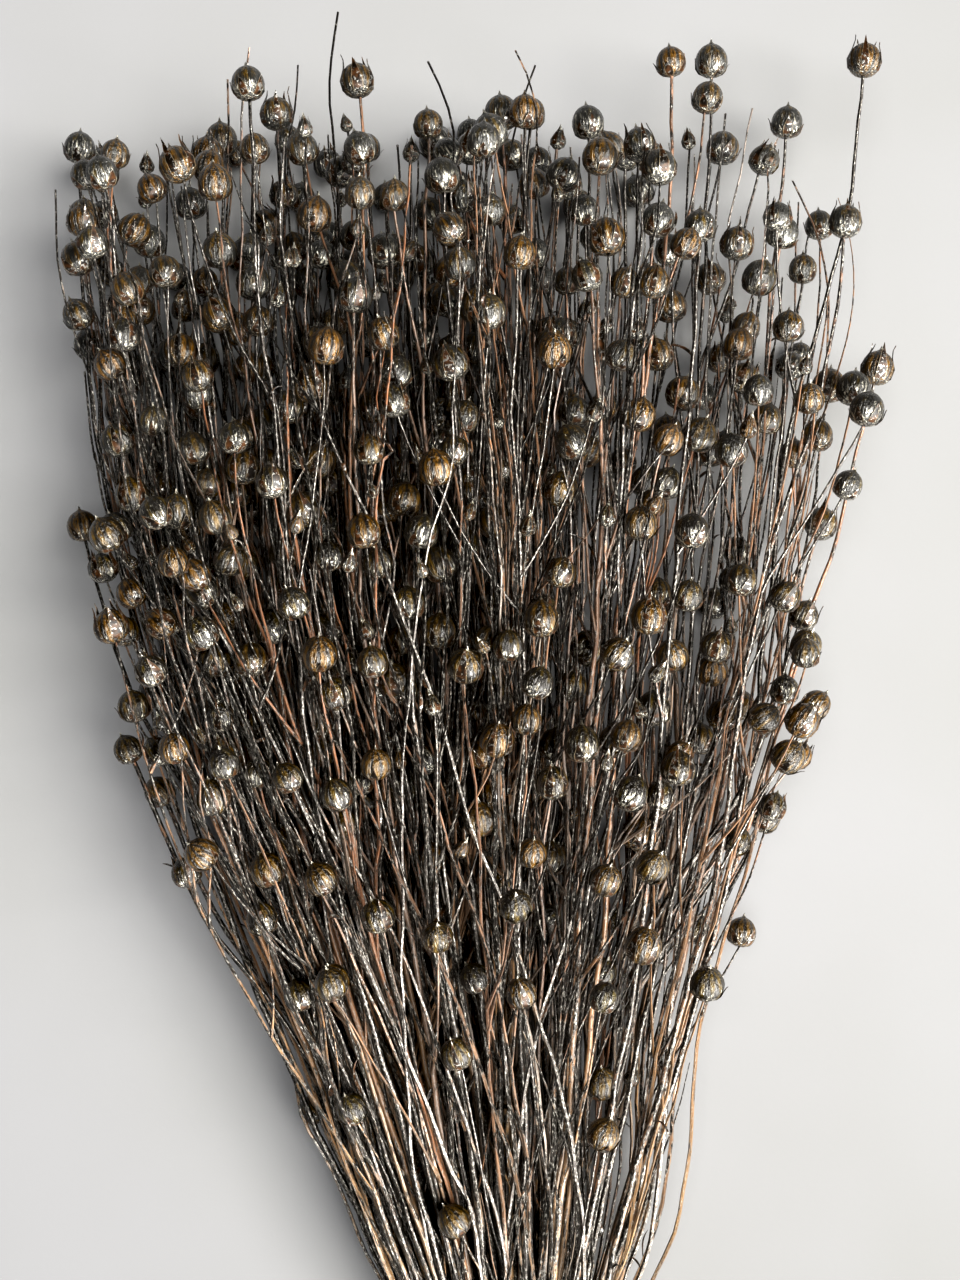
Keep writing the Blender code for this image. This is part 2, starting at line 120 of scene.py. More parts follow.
headRule = {
    "count": 230,
    "radii": (3.35 * mm, 4.05 * mm),
    "budRadius": 2.3 * mm,
    "budShare": 0.09,
    "tilt": 0.3,
    "topTilt": 0.4,
    "restHeight": 0.85,
    "balls": ((1, 1.02), (2.1, 0.25)),
    # across, along and above the table, in mm
    "edge": (
        (-104, 322, 22), (-100, 304, 30), (-102, 277, 17), (-104, 234, 20), (-90, 182, 24),
        (-84, 172, 17), (-56, 326, 34), (-35, 330, 46), (9, 326, 14), (16, 323, 38),
        (34, 335, 44), (43, 340, 27), (62, 329, 18), (77, 339, 32), (83, 270, 26),
        (72, 301, 38), (67, 254, 30), (70, 235, 16), (65, 213, 26), (58, 186, 15),
    ),
    "front": (
        (-67, 159, 34), (-48, 128, 38), (-35, 88, 32), (-13, 78, 40), (7, 85, 41),
        (17, 98, 43), (-13, 118, 52), (-18, 145, 58), (17, 130, 53), (26, 160, 60),
    ),
    "resting": ((-58, 262), (38, 258), (-8, 216)),
}

clear = 0.6 * mm
sampleStep = 1.5 * mm
cellSize = 7 * mm
directionReach = 6 * mm
waistHeight = fan["waistRadius"] + stem["radii"][0] + fan["bandSlack"] + fan["bandThickness"]


def opened(y):
    return 1 - math.exp(-((max(y, 0) / fan["reach"]) ** fan["power"]))


def halfSize(y, full):
    return fan["waistRadius"] + (full - fan["waistRadius"]) * opened(y) + fan["buttFlare"] * max(-y, 0)


def flowPoint(a, b, y):
    across = fan["lean"] * opened(y) + a * halfSize(y, fan["halfWidth"])
    low = waistHeight - fan["waistRadius"]
    up = low + halfSize(y, fan["halfDepth"]) * (1 + b - fan["sag"] * opened(y) * a * a)
    return Vector((across, y, up))


def levelsBelow(top):
    levels = [-fan["bandWidth"] / 2, fan["bandWidth"] / 2]
    while levels[-1] + stem["levelStep"] + stem["leastTopSpan"] < top:
        levels.append(levels[-1] + stem["levelStep"])
    return levels


def samplesAlong(points, radii):
    ends = list(zip(points, radii))
    for (start, wide), (end, thin) in zip(ends, ends[1:]):
        count = math.ceil((end - start).length / sampleStep)
        for k in range(1, count + 1):
            yield start.lerp(end, k / count), wide + (thin - wide) * k / count


def stemRadius(y, top):
    base, middle, tip = stem["radii"]
    if y < stem["middle"]:
        return base + (middle - base) * max(y, 0) / stem["middle"]
    return middle + (tip - middle) * min((y - stem["middle"]) / max(top - stem["middle"], mm), 1)


# A grid of round samples, to find out where there is still room
def cellOf(point):
    return tuple(math.floor(c / cellSize) for c in point)


def takeRoom(room, samples, owner):
    for point, radius in samples:
        room[cellOf(point)].append((point, radius, owner))


def isClear(room, point, radius, owner=None):
    i, j, k = cellOf(point)
    reach = math.ceil((radius + headRule["radii"][1] + clear) / cellSize)
    span = range(-reach, reach + 1)
    for key in ((i + x, j + y, k + z) for x in span for y in span for z in span):
        for other, otherRadius, otherOwner in room.get(key, ()):
            if otherOwner != owner and (point - other).length < radius + otherRadius + clear:
                return False
    return True


def headRadius(rng):
    size = rng.uniform(*headRule["radii"])
    return headRule["budRadius"] if rng.random() < headRule["budShare"] else size


def randomTilt(rng):
    return Vector(rng.uniform(-headRule["tilt"], headRule["tilt"]) for _ in range(3))


def newHead(base, axis, radius, roll):
    return SimpleNamespace(base=base, axis=axis.normalized(), radius=radius, roll=roll)


def headSamples(head):
    return [(head.base + head.axis * head.radius * h, head.radius * s) for h, s in headRule["balls"]]


def newPlant(number, place, rng):
    plant = SimpleNamespace(number=number, a=place[0], b=place[1], rests=False, shoots=[])
    plant.butt = -rng.uniform(*stem["buttLengths"])
    plant.sway = (rng.uniform(*stem["swayLengths"]), rng.uniform(0, math.tau), rng.uniform(0, math.tau))
    plant.turn = rng.uniform(0, math.tau)
    plant.radius = headRadius(rng)
    plant.roll = rng.uniform(0, math.tau)
    plant.tilt = randomTilt(rng)
    return plant


def freePoint(plant, y, bend):
    length, phaseX, phaseZ = plant.sway
    strength = stem["sway"] * opened(y)
    wave = math.tau * y / length
    point = flowPoint(plant.a, plant.b, y)
    point.x += strength * math.sin(wave + phaseX)
    point.z += strength * 0.6 * (1 + math.sin(wave + phaseZ))
    t = min(max((y - plant.top + stem["headBend"]) / stem["headBend"], 0), 1)
    return point + bend * t * t * (3 - 2 * t)


def layOut(plant, top, target=None):
    plant.top = top
    plant.levels = [plant.butt] + levelsBelow(top) + [top]
    bend = Vector((0, 0, 0))
    if target:
        bend = target - flowPoint(plant.a, plant.b, target.y)
        bend.y = 0
    plant.knots = [freePoint(plant, y, bend) for y in plant.levels]


def spanAt(plant, y):
    k = 1
    while k < len(plant.levels) - 1 and plant.levels[k] < y:
        k += 1
    return k, (y - plant.levels[k - 1]) / (plant.levels[k] - plant.levels[k - 1])


def axisPoint(plant, y):
    k, share = spanAt(plant, y)
    return plant.knots[k - 1].lerp(plant.knots[k], share)


def makeTopHead(plant):
    ahead = axisPoint(plant, plant.top + directionReach)
    axis = (ahead - axisPoint(plant, plant.top - directionReach)).normalized()
    axis = axis + plant.tilt * headRule["topTilt"]
    if plant.rests:
        axis.z = 0
    plant.head = newHead(plant.knots[-1], axis, plant.radius, plant.roll)


def push(plant, y, shift):
    k, share = spanAt(plant, min(y, plant.top))
    if k > 3:
        plant.knots[k - 1] += shift * (1 - share)
    if k > 2:
        plant.knots[k] += shift * share


def discAt(plant, y):
    if y <= plant.top:
        return axisPoint(plant, y), stemRadius(y, plant.top)
    if y < plant.top + 2 * plant.radius + stem["pushStep"] / 2:
        return plant.knots[-1], plant.radius
    return None


def pastFan(point, allowed):
    across = point.x - fan["lean"] * opened(point.y)
    past = max(abs(across) - halfSize(point.y, fan["halfWidth"]) - allowed, 0)
    return math.copysign(past, across)


def settle(plant):
    for y, knot in zip(plant.levels, plant.knots):
        knot.z = max(knot.z, stemRadius(y, plant.top) + 2 * clear)
        knot.x -= pastFan(knot, fan["stemOutliers"])
    last = plant.knots[-1]
    last.z = max(last.z, plant.radius + 2 * clear)
    if plant.rests:
        last.z = plant.radius * headRule["restHeight"]


def pushApart(plants):
    highest = max(plant.top for plant in plants) + stem["levelStep"]
    for _ in range(stem["pushes"]):
        y = stem["pushStart"]
        while y < highest:
            discs = [(plant, discAt(plant, y)) for plant in plants]
            discs = [(plant, *disc) for plant, disc in discs if disc]
            for i, (plant, point, radius) in enumerate(discs):
                for neighbour, other, otherRadius in discs[:i]:
                    away = point - other
                    away.y = 0
                    lack = radius + otherRadius + stem["pushRoom"] - away.length
                    if lack > 0:
                        shift = away.normalized() * lack / 2
                        push(plant, y, shift)
                        push(neighbour, y, -shift)
            y += stem["pushStep"]
        for plant in plants:
            settle(plant)


def nearest(plants, target):
    return min(plants, key=lambda p: (flowPoint(p.a, p.b, target.y) - target).length)


def setTops(plants, rng):
    free = list(plants)
    for across, along in headRule["resting"]:
        target = Vector((across, along, 0)) * mm
        plant = nearest(free, target)
        plant.radius = headRule["radii"][1]
        plant.rests = True
        layOut(plant, along * mm - plant.radius, target)
        free.remove(plant)
    for place in headRule["edge"]:
        target = Vector(place) * mm
        plant = nearest(free, target)
        layOut(plant, target.y - plant.radius, target)
        free.remove(plant)
    order = sorted(free, key=lambda p: (p.number * goldenAngle) % 1)
    for k, plant in enumerate(order):
        drop = ((k + rng.random()) / len(order)) ** stem["heightPower"]
        layOut(plant, stem["tallest"] - (stem["tallest"] - stem["shortest"]) * drop)


def shootPoint(shoot, t):
    y = shoot.fork + (shoot.end.y - shoot.fork) * t
    return axisPoint(shoot.plant, y) + shoot.offset * t * (1 + shootRule["curve"] * (1 - t))


def newShoot(plant, fork, end, radius, roll, tilt):
    shoot = SimpleNamespace(plant=plant, fork=fork, end=end, offset=end - axisPoint(plant, end.y))
    direction = shootPoint(shoot, 1) - shootPoint(shoot, 1 - directionReach / (end.y - fork))
    shoot.head = newHead(end, direction.normalized() + tilt, radius, roll)
    return shoot


def shootSamples(shoot):
    radii = [shootRule["radii"][0]] * len(shootRule["steps"])
    return samplesAlong([shootPoint(shoot, t) for t in shootRule["steps"]], radii)


def roomFor(room, shoot):
    if pastFan(shoot.end, fan["shootOutliers"]):
        return False
    for point, radius in headSamples(shoot.head):
        if point.z < radius + clear or not isClear(room, point, radius):
            return False
    for point, radius in shootSamples(shoot):
        nearFork = point.y < shoot.fork + (shoot.end.y - shoot.fork) * shootRule["ownShare"]
        if not isClear(room, point, radius, shoot.plant.number if nearFork else None):
            return False
    return True


def forkIsFree(plant, fork):
    low = fork < plant.top - 2 * shootRule["forkLength"]
    return low and all(abs(fork - s.fork) > shootRule["forkSpacing"] for s in plant.shoots)


def tryShoot(room, shoot):
    if not forkIsFree(shoot.plant, shoot.fork) or not roomFor(room, shoot):
        return False
    owner = (shoot.plant.number, len(shoot.plant.shoots))
    takeRoom(room, list(shootSamples(shoot)) + headSamples(shoot.head), owner)
    shoot.plant.shoots.append(shoot)
    return True


def drawnShoot(plant, step, rng):
    endY = plant.top - shootRule["drop"] * (step + rng.uniform(*shootRule["dropSpread"]))
    fork = endY - rng.uniform(*shootRule["lengths"])
    angle = plant.turn + goldenAngle * (step + shootRule["first"]) + rng.uniform(*shootRule["turnSpread"])
    reach = rng.uniform(*shootRule["reach"])
    offset = Vector((math.cos(angle), 0, math.sin(angle) * shootRule["flatten"])) * reach
    end = axisPoint(plant, endY) + offset
    return newShoot(plant, fork, end, headRadius(rng), rng.uniform(0, math.tau), randomTilt(rng))


def addFrontHeads(plants, room, rng):
    for place in headRule["front"]:
        target = Vector(place) * mm
        tall = [p for p in plants if p.top > target.y + stem["headBend"] / 2]
        tall = [p for p in tall if len(p.shoots) < shootRule["most"]]
        for plant in sorted(tall, key=lambda p: (axisPoint(p, target.y) - target).length):
            if (axisPoint(plant, target.y) - target).length < shootRule["reach"][0]:
                continue
            fork = target.y - rng.uniform(*shootRule["lengths"])
            radius = rng.uniform(*headRule["radii"])
            end = target - Vector((0, radius, 0))
            roll = rng.uniform(0, math.tau)
            if tryShoot(room, newShoot(plant, fork, end, radius, roll, randomTilt(rng))):
                break


def headCount(plants):
    return sum(1 + len(plant.shoots) for plant in plants)


def planBunch():
    rng = random.Random(fan["seed"])
    plants = []
    for i in range(fan["plants"]):
        away = math.sqrt((i + 0.5) / fan["plants"])
        place = (away * math.cos(i * goldenAngle), away * math.sin(i * goldenAngle))
        plants.append(newPlant(i, place, rng))
    setTops(plants, rng)
    pushApart(plants)
    room = defaultdict(list)
    for plant in plants:
        makeTopHead(plant)
        radii = [stemRadius(y, plant.top) for y in plant.levels]
        takeRoom(room, list(samplesAlong(plant.knots, radii)) + headSamples(plant.head), plant.number)
    addFrontHeads(plants, room, rng)
    for step in range(shootRule["most"]):
        for plant in plants:
            if len(plant.shoots) > step or headCount(plants) >= headRule["count"]:
                continue
            for _ in range(shootRule["tries"]):
                if tryShoot(room, drawnShoot(plant, step, rng)):
                    break
    return plants, room


plants, room = planBunch()
print("bunch planned:", headCount(plants), "heads")

scene = bpy.context.scene
flaxOnly, tableOnly = (bpy.data.collections.new(name) for name in ("flaxOnly", "tableOnly"))


def newObject(name, data):
    made = bpy.data.objects.new(name, data)
    scene.collection.objects.link(made)
    return made


# Meshes are gathered as rings of points, with what the materials need to know about each point
def newShape():
    return SimpleNamespace(points=[], faces=[], slots=[], tint=[], paint=[], rib=[], local=[], count=0)


def addRings(shape, rings, slot=0, tint=0.5, paint=0.5, rib=1.0, local=None, startCap=None, endCap=None):
    rows, sides = rings.shape[:2]
    total = rows * sides
    index = np.arange(total).reshape(rows, sides) + shape.count
    around = np.roll(index, -1, axis=1)
    quads = np.stack((index[:-1], around[:-1], around[1:], index[1:]), axis=-1).reshape(-1, 4)
    shape.faces += quads.tolist()
    shape.slots += [slot] * len(quads)
    points = [rings.reshape(-1, 3)]
    extra = 0
    for cap, row in ((startCap, 0), (endCap, -1)):
        if cap is None:
            continue
        points.append(rings[row].mean(axis=0)[None])
        centre = shape.count + total + extra
        extra += 1
        low, high = (around, index) if row == 0 else (index, around)
        shape.faces += [[int(a), int(b), centre] for a, b in zip(low[row], high[row])]
        shape.slots += [cap] * sides

    def spread(value, width):
        value = np.broadcast_to(value, (rows, sides, width) if width > 1 else (rows, sides))
        value = value.reshape(total, width)
        ends = [value[0]] * (startCap is not None) + [value[-1]] * (endCap is not None)
        return np.vstack([value] + [e[None] for e in ends])

    shape.points.append(np.vstack(points))
    shape.tint.append(spread(tint, 1))
    shape.paint.append(spread(paint, 1))
    shape.rib.append(spread(rib, 1))
    shape.local.append(spread(np.zeros(3) if local is None else local, 3))
    shape.count += total + extra


def finishShape(shape, name, materials, replaced=()):
    # nothing goes below the table, or more than 1 mm above the solids
    points = np.vstack(shape.points)
    points[:, 2] = np.clip(points[:, 2], 0, cadBox[1][2] + 1 * mm)
    mesh = bpy.data.meshes.new(name)
    mesh.from_pydata(points.tolist(), [], shape.faces)
    mesh.polygons.foreach_set("material_index", shape.slots)
    for key in ("tint", "paint", "rib"):
        values = np.vstack(getattr(shape, key)).astype(np.float32).ravel()
        mesh.attributes.new(key, "FLOAT", "POINT").data.foreach_set("value", values)
    values = np.vstack(shape.local).astype(np.float32).ravel()
    mesh.attributes.new("local", "FLOAT_VECTOR", "POINT").data.foreach_set("vector", values)
    mesh.shade_smooth()
    mesh.set_sharp_from_angle(angle=math.radians(62))
    for material in materials:
        mesh.materials.append(material)
    piece = newObject(name, mesh)
    flaxOnly.objects.link(piece)
    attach(piece, "root")
    if replaced:
        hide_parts(*replaced)


def unit(v):
    return v / np.maximum(np.linalg.norm(v, axis=-1, keepdims=True), 1e-9)


def tube(points, radii, sides, roll=0.0):
    along = unit(np.gradient(points, axis=0))
    side = unit(np.array((1.0, 0, 0)) - along * along[:, :1])
    across = np.cross(along, side)
    turn = roll + np.arange(sides) * math.tau / sides
    ring = side[:, None] * np.cos(turn)[:, None] + across[:, None] * np.sin(turn)[:, None]
    return points[:, None] + ring * np.broadcast_to(radii, (sides, len(points))).T[..., None]


# Nodes for the materials
def linear(code):
    channels = [int(code[i:i + 2], 16) / 255 for i in (1, 3, 5)]
    return (*[c / 12.92 if c < 0.04045 else ((c + 0.055) / 1.055) ** 2.4 for c in channels], 1.0)


def addNode(tree, kind, settings=None, links=None, out=0):
    # from and to are the ends of a range, and colours are codes. links has a source for each input, or is
    # the first input's source. One output comes back.
    node = tree.nodes.new("ShaderNode" + kind)
    for key, value in (settings or {}).items():
        if key == "stops":
            ramp = node.color_ramp.elements
            for k, (place, colour) in enumerate(value):
                element = ramp[k] if k < 2 else ramp.new(place)
                element.position = place
                element.color = linear(colour)
        elif key in ("from", "to"):
            for edge, limit in zip((" Min", " Max"), value):
                node.inputs[key.title() + edge].default_value = limit
        elif isinstance(key, str) and hasattr(node, key):
            setattr(node, key, value)
        else:
            node.inputs[key].default_value = linear(value) if isinstance(value, str) else value
    if links is not None:
        for key, source in (links if isinstance(links, dict) else {0: links}).items():
            tree.links.new(source, node.inputs[key])
    return node.outputs[out]


def newMaterial(name, settings):
    material = bpy.data.materials.new(name)
    material.use_nodes = True
    for key, value in settings.items():
        material.node_tree.nodes["Principled BSDF"].inputs[key].default_value = value
    return material, partial(addNode, material.node_tree)


def plugIn(material, sources):
    tree = material.node_tree
    for key, source in sources.items():
        tree.links.new(source, tree.nodes["Principled BSDF"].inputs[key])
    return material


# Ripe flax husk under sprayed lacquer: thin papery wall, so the dark film sinks in between the ribs and
# wears off the crowns, where the husk shows golden brown. It shines wetly, broken by fine creases.
huskFinish = {
    "huskDark": "#211303",
    "olive": "#6a5a12",
    "amber": "#7a5712",
    "seam": 0.06,  # how dark the lines between the ribs are
    "lacquer": "#1b140b",
    "graphite": "#3b3a36",  # the lacquer's colour on the topmost bolls
    "lacquerMetal": 0.35,  # graphite powder in the lacquer
    "silver": "#cdc9bc",
    "roughness": 0.27,
    "creases": 1.7,  # per boll radius
    "creaseDepth": 0.16 * mm,
    "bare": 0.46,  # how worn the film is where the husk starts to show
    "silverShare": 0.6,
}


def makeHusk():
    f = huskFinish
    material, add = newMaterial("lacqueredFlaxHusk", {
        "IOR": 1.5, "Coat Weight": 1.0, "Coat Roughness": 0.14, "Coat IOR": 1.65,
    })
    local = add("Attribute", {"attribute_name": "local"}, out="Vector")
    rib, tint = (add("Attribute", {"attribute_name": key}, out="Fac") for key in ("rib", "tint"))
    streaky = add("Mapping", {"Scale": (4.6, 4.6, 0.8)}, local)
    streaks = add("TexNoise", {"Scale": 1.6, "Detail": 3.0}, streaky)
    gold = add("Mix", {"data_type": "RGBA", 6: f["olive"], 7: f["amber"]}, tint, 2)
    bright = add("MapRange", {"from": (0.36, 0.57)}, streaks)
    husk = add("Mix", {"data_type": "RGBA", 6: f["huskDark"]}, {0: bright, 7: gold}, 2)
    seam = add("MapRange", {"from": (0.15, 0.6), "to": (f["seam"], 1)}, rib)
    husk = add("Mix", {"data_type": "RGBA", "blend_type": "MULTIPLY", 0: 1.0}, {6: husk, 7: seam}, 2)
    # the film wears off in blotches, more on some bolls than on others
    lengthwise = add("Mapping", {"Scale": (1.5, 1.5, 0.7)}, local)
    worn = add("TexNoise", {"Scale": 1.0, "Detail": 5.0, "Roughness": 0.66}, lengthwise)
    shift = add("MapRange", {"to": (-0.16, 0.14)}, tint)
    # the beak's half is barer and the stem's half more silver, partly from the spray and partly as a painted
    # highlight on the half the lamps light
    upward = add("SeparateXYZ", {}, local, "Z")
    beakwardSprayAndHighlight = add("MapRange", {"from": (0.3, 1.5), "to": (-0.06, 0.06)}, upward)
    crown = add("MapRange", {"from": (0, 0.8), "to": (-0.06, 0.03)}, rib)
    # the topmost bolls took the most spray, and greyer, and the lowest the least
    along = add("SeparateXYZ", {}, add("TexCoord", out="Object"), "Y")
    topmost = add("MapRange", {"from": (0.22, 0.31), "to": (0, 0.075)}, along)
    greyer = add("MapRange", {"from": (0.18, 0.3)}, along)
    film = add("Mix", {"data_type": "RGBA", 6: f["lacquer"], 7: f["graphite"]}, greyer, 2)
    lowest = add("MapRange", {"from": (0.09, 0.17), "to": (0.05, 0)}, along)
    for operation, amount in (("ADD", shift), ("ADD", beakwardSprayAndHighlight), ("ADD", crown), ("SUBTRACT", topmost),
                              ("ADD", lowest)):
        worn = add("Math", {"operation": operation}, {0: worn, 1: amount})
    bare = add("MapRange", {"from": (f["bare"] - 0.07, f["bare"] + 0.12), "to": (0, 0.88)}, worn)
    painted = add("Mix", {"data_type": "RGBA"}, {0: bare, 6: film, 7: husk}, 2)
    # graphite flakes left on top, and the beak is rubbed bright
    elsewhere = add("Mapping", {"Scale": (2.6, 2.6, 0.7), "Location": (3, 5, 9)}, local)
    flake = add("TexNoise", {"Scale": 2.3, "Detail": 4.0, "Roughness": 0.6}, elsewhere)
    fewer = add("MapRange", {"to": (-0.05, 0.05)}, tint)
    beak = add("MapRange", {"from": (1.99, 2.12), "to": (0, 0.36)}, upward)
    # more silver on the stem's half of each boll: painted highlight where the lamps at the lower right
    # shine, besides less spray near the beak
    for less in (fewer, beakwardSprayAndHighlight, lowest):
        flake = add("Math", {"operation": "SUBTRACT"}, {0: flake, 1: less})
    flake = add("Math", {"operation": "ADD"}, {0: flake, 1: beak})
    silver = add("MapRange", {"from": (f["silverShare"], f["silverShare"] + 0.05)}, flake)
    colour = add("Mix", {"data_type": "RGBA", 7: f["silver"]}, {0: silver, 6: painted}, 2)
    metal = add("MapRange", {"to": (f["lacquerMetal"], 0)}, bare)
    metal = add("Math", {"operation": "MAXIMUM"}, {0: metal, 1: silver})
    rough = add("MapRange", {"to": (f["roughness"] - 0.06, f["roughness"] + 0.16)}, streaks)
    creased = add("Mapping", {"Scale": (4.6, 4.6, 1.1)}, local)
    creases = add("TexNoise", {"Scale": f["creases"], "Detail": 4.0, "Roughness": 0.55, "Distortion": 0.6},
                  creased)
    bump = add("Bump", {"Strength": 0.76, "Distance": f["creaseDepth"] * 4}, {"Height": creases})
    return plugIn(material, {"Base Color": colour, "Roughness": rough, "Metallic": metal, "Normal": bump,
                             "Coat Normal": bump})


# Dry flax straw under flaking spray paint: low down it shows tan with copper streaks, higher up the
# paint holds better, black with graphite silver where the spray reached. It lies in long worn streaks.
strawFinish = {
    "tan": "#9a7b54",
    "copper": "#926749",
    "weathered": "#8f867b",
    "streak": "#2e2117",
    "paint": "#2a2117",
    "paintMetal": 0.9,
    "silver": "#adaaa3",
    "flake": (0.8 * mm, 3.6 * mm),  # across and along the stem
    "speck": (0.3 * mm, 0.7 * mm),
    "fibre": (0.3 * mm, 12 * mm),
    "flakeDepth": 0.08 * mm,
    "roughness": 0.34,
    "silverRoughness": 0.58,
}


def makeStraw():
    f = strawFinish
    material, add = newMaterial("paintedFlaxStraw", {"IOR": 1.5, "Coat Roughness": 0.38, "Coat IOR": 1.7})
    local = add("Attribute", {"attribute_name": "local"}, out="Vector")
    tint, paint, sprayed = (add("Attribute", {"attribute_name": key}, out="Fac")
                            for key in ("tint", "paint", "rib"))
    upward = add("SeparateXYZ", {}, add("TexCoord", out="Object"), "Y")
    high = add("MapRange", {"from": (0.03, 0.19)}, upward)
    hue = add("Math", {"operation": "MULTIPLY_ADD", 1: 0.9, 2: -0.4}, tint)
    high = add("Math", {"operation": "ADD", "use_clamp": True}, {0: high, 1: hue})
    straw = add("Mix", {"data_type": "RGBA", 6: f["tan"], 7: f["copper"]}, high, 2)
    # some stems have weathered to grey
    other = add("Math", {"operation": "MULTIPLY", 1: 7.3}, tint)
    other = add("Math", {"operation": "FRACT"}, other)
    weathered = add("MapRange", {"from": (0.25, 1), "to": (0, 0.85)}, other)
    straw = add("Mix", {"data_type": "RGBA", 7: f["weathered"]}, {0: weathered, 6: straw}, 2)
    # the patterns follow each stem, and start elsewhere on every one
    patterns = []
    start = add("Math", {"operation": "MULTIPLY", 1: 170.0}, tint)
    for (across, along), detail in ((f["fibre"], 2.0), (f["flake"], 5.0), (f["speck"], 4.0)):
        stretched = add("Mapping", {"Scale": (0.8 / across, 0.8 / along, 0.8 / across)},
                        {"Vector": local, "Location": start})
        patterns.append(add("TexNoise", {"Scale": 1.0, "Detail": detail, "Roughness": 0.66}, stretched))
    grain, flakes, specks = patterns
    dark = add("MapRange", {"from": (0.38, 0.66), "to": (0, 0.8)}, grain)
    straw = add("Mix", {"data_type": "RGBA", 7: f["streak"]}, {0: dark, 6: straw}, 2)
    least = add("MapRange", {"to": (0.68, 0.34)}, paint)
    over = add("Math", {"operation": "SUBTRACT"}, {0: flakes, 1: least})
    cover = add("MapRange", {"from": (-0.02, 0.03)}, over)
    colour = add("Mix", {"data_type": "RGBA", 7: f["paint"]}, {0: cover, 6: straw}, 2)
    # fewer silver specks deep in the bunch: less spray there, and painted shade
    least = add("MapRange", {"to": (0.6, 0.535)}, sprayed)
    over = add("Math", {"operation": "SUBTRACT"}, {0: specks, 1: least})
    silver = add("MapRange", {"from": (0, 0.045)}, over)
    veil = add("MapRange", {"to": (0.35, 1)}, cover)
    silver = add("Math", {"operation": "MULTIPLY"}, {0: silver, 1: veil})
    film = add("Math", {"operation": "MULTIPLY", 1: f["paintMetal"]}, cover)
    metal = add("Math", {"operation": "MAXIMUM"}, {0: film, 1: silver})
    colour = add("Mix", {"data_type": "RGBA", 7: f["silver"]}, {0: silver, 6: colour}, 2)
    rough = add("MapRange", {"to": (f["roughness"] + 0.14, f["roughness"] - 0.06)}, cover)
    rough = add("Mix", {"data_type": "FLOAT", 3: f["silverRoughness"]}, {0: silver, 2: rough})
    height = add("Math", {"operation": "MULTIPLY_ADD", 1: 0.5}, {0: grain, 2: cover})
    height = add("Math", {"operation": "MULTIPLY_ADD", 1: 0.8}, {0: specks, 2: height})
    lacquered = add("MapRange", {"from": (0, 0.7), "to": (0.36, 1)}, paint)
    depth = f["flakeDepth"] * 2
    bump, coatBump = (add("Bump", {"Strength": strength, "Distance": depth}, {"Height": height})
                      for strength in (0.9, 0.4))
    return plugIn(material, {"Base Color": colour, "Roughness": rough, "Metallic": metal, "Normal": bump,
                             "Coat Normal": coatBump, "Coat Weight": lacquered})


# Shrivelled leaves and sepals, papery and soaked with paint: almost black, with glints along the folds
# and a thin pale skin along the margins, whose paleness is partly a painted bright rim of light on the edges
leafFinish = {
    "paint": "#171009", "leaf": "#50351d", "marginAndRimLight": "#b3a68d", "silver": "#b9b8b4", "roughness": 0.34,
}


def makeLeaf():
    f = leafFinish
    material, add = newMaterial("paintedDryLeaf", {"IOR": 1.45, "Coat Weight": 0.2, "Coat Roughness": 0.2})
    place = add("TexCoord", out="Object")
    mottle = add("TexNoise", {"Scale": 1 / (1.6 * mm), "Detail": 4.0}, place)
    colour = add("ValToRGB", {"stops": ((0.45, f["paint"]), (0.64, f["leaf"]))}, mottle)
    glint = add("TexNoise", {"Scale": 1 / (0.9 * mm), "Detail": 3.0, "Roughness": 0.7}, place)
    rib = add("Attribute", {"attribute_name": "rib"}, out="Fac")
    # pale margin: a real pale skin, partly a painted bright rim where light catches the edge
    edge = add("MapRange", {"from": (0.8, 1), "to": (0, 0.5)}, rib)
    colour = add("Mix", {"data_type": "RGBA", 7: f["marginAndRimLight"]}, {0: edge, 6: colour}, 2)
    silver = add("MapRange", {"from": (0.56, 0.62)}, glint)
    colour = add("Mix", {"data_type": "RGBA", 7: f["silver"]}, {0: silver, 6: colour}, 2)
    bump = add("Bump", {"Strength": 0.6, "Distance": 0.15 * mm}, {"Height": glint})
    rough = add("MapRange", {"to": (f["roughness"] - 0.08, f["roughness"] + 0.2)}, mottle)
    return plugIn(material, {"Base Color": colour, "Roughness": rough, "Metallic": silver, "Normal": bump})


# Fresh-cut ends of the straw: pale wood with a darker pith in the middle, matt
cutFinish = {"wood": "#d8c095", "pith": "#8d6c43", "rind": "#6d4c2c", "roughness": 0.85}


def makeCutStraw():
    f = cutFinish
    material, add = newMaterial("cutFlaxStraw", {"Roughness": f["roughness"], "IOR": 1.45})
    rib = add("Attribute", {"attribute_name": "rib"}, out="Fac")
    fibres = add("TexNoise", {"Scale": 1 / (0.25 * mm), "Detail": 2.0}, add("TexCoord", out="Object"))
    stops = (0.0, f["rind"]), (0.18, f["wood"]), (0.62, f["wood"]), (0.86, f["pith"])
    colour = add("ValToRGB", {"stops": stops}, rib)
    shade = add("MapRange", {"from": (0.3, 0.7), "to": (0.7, 1.1)}, fibres)
    colour = add("Mix", {"data_type": "RGBA", "blend_type": "MULTIPLY", 0: 1.0}, {6: colour, 7: shade}, 2)
    bump = add("Bump", {"Strength": 0.5, "Distance": 0.1 * mm}, {"Height": fibres})
    return plugIn(material, {"Base Color": colour, "Normal": bump})


flaxMaterials = (makeStraw(), makeHusk(), makeLeaf(), makeCutStraw())
print("flax materials made")

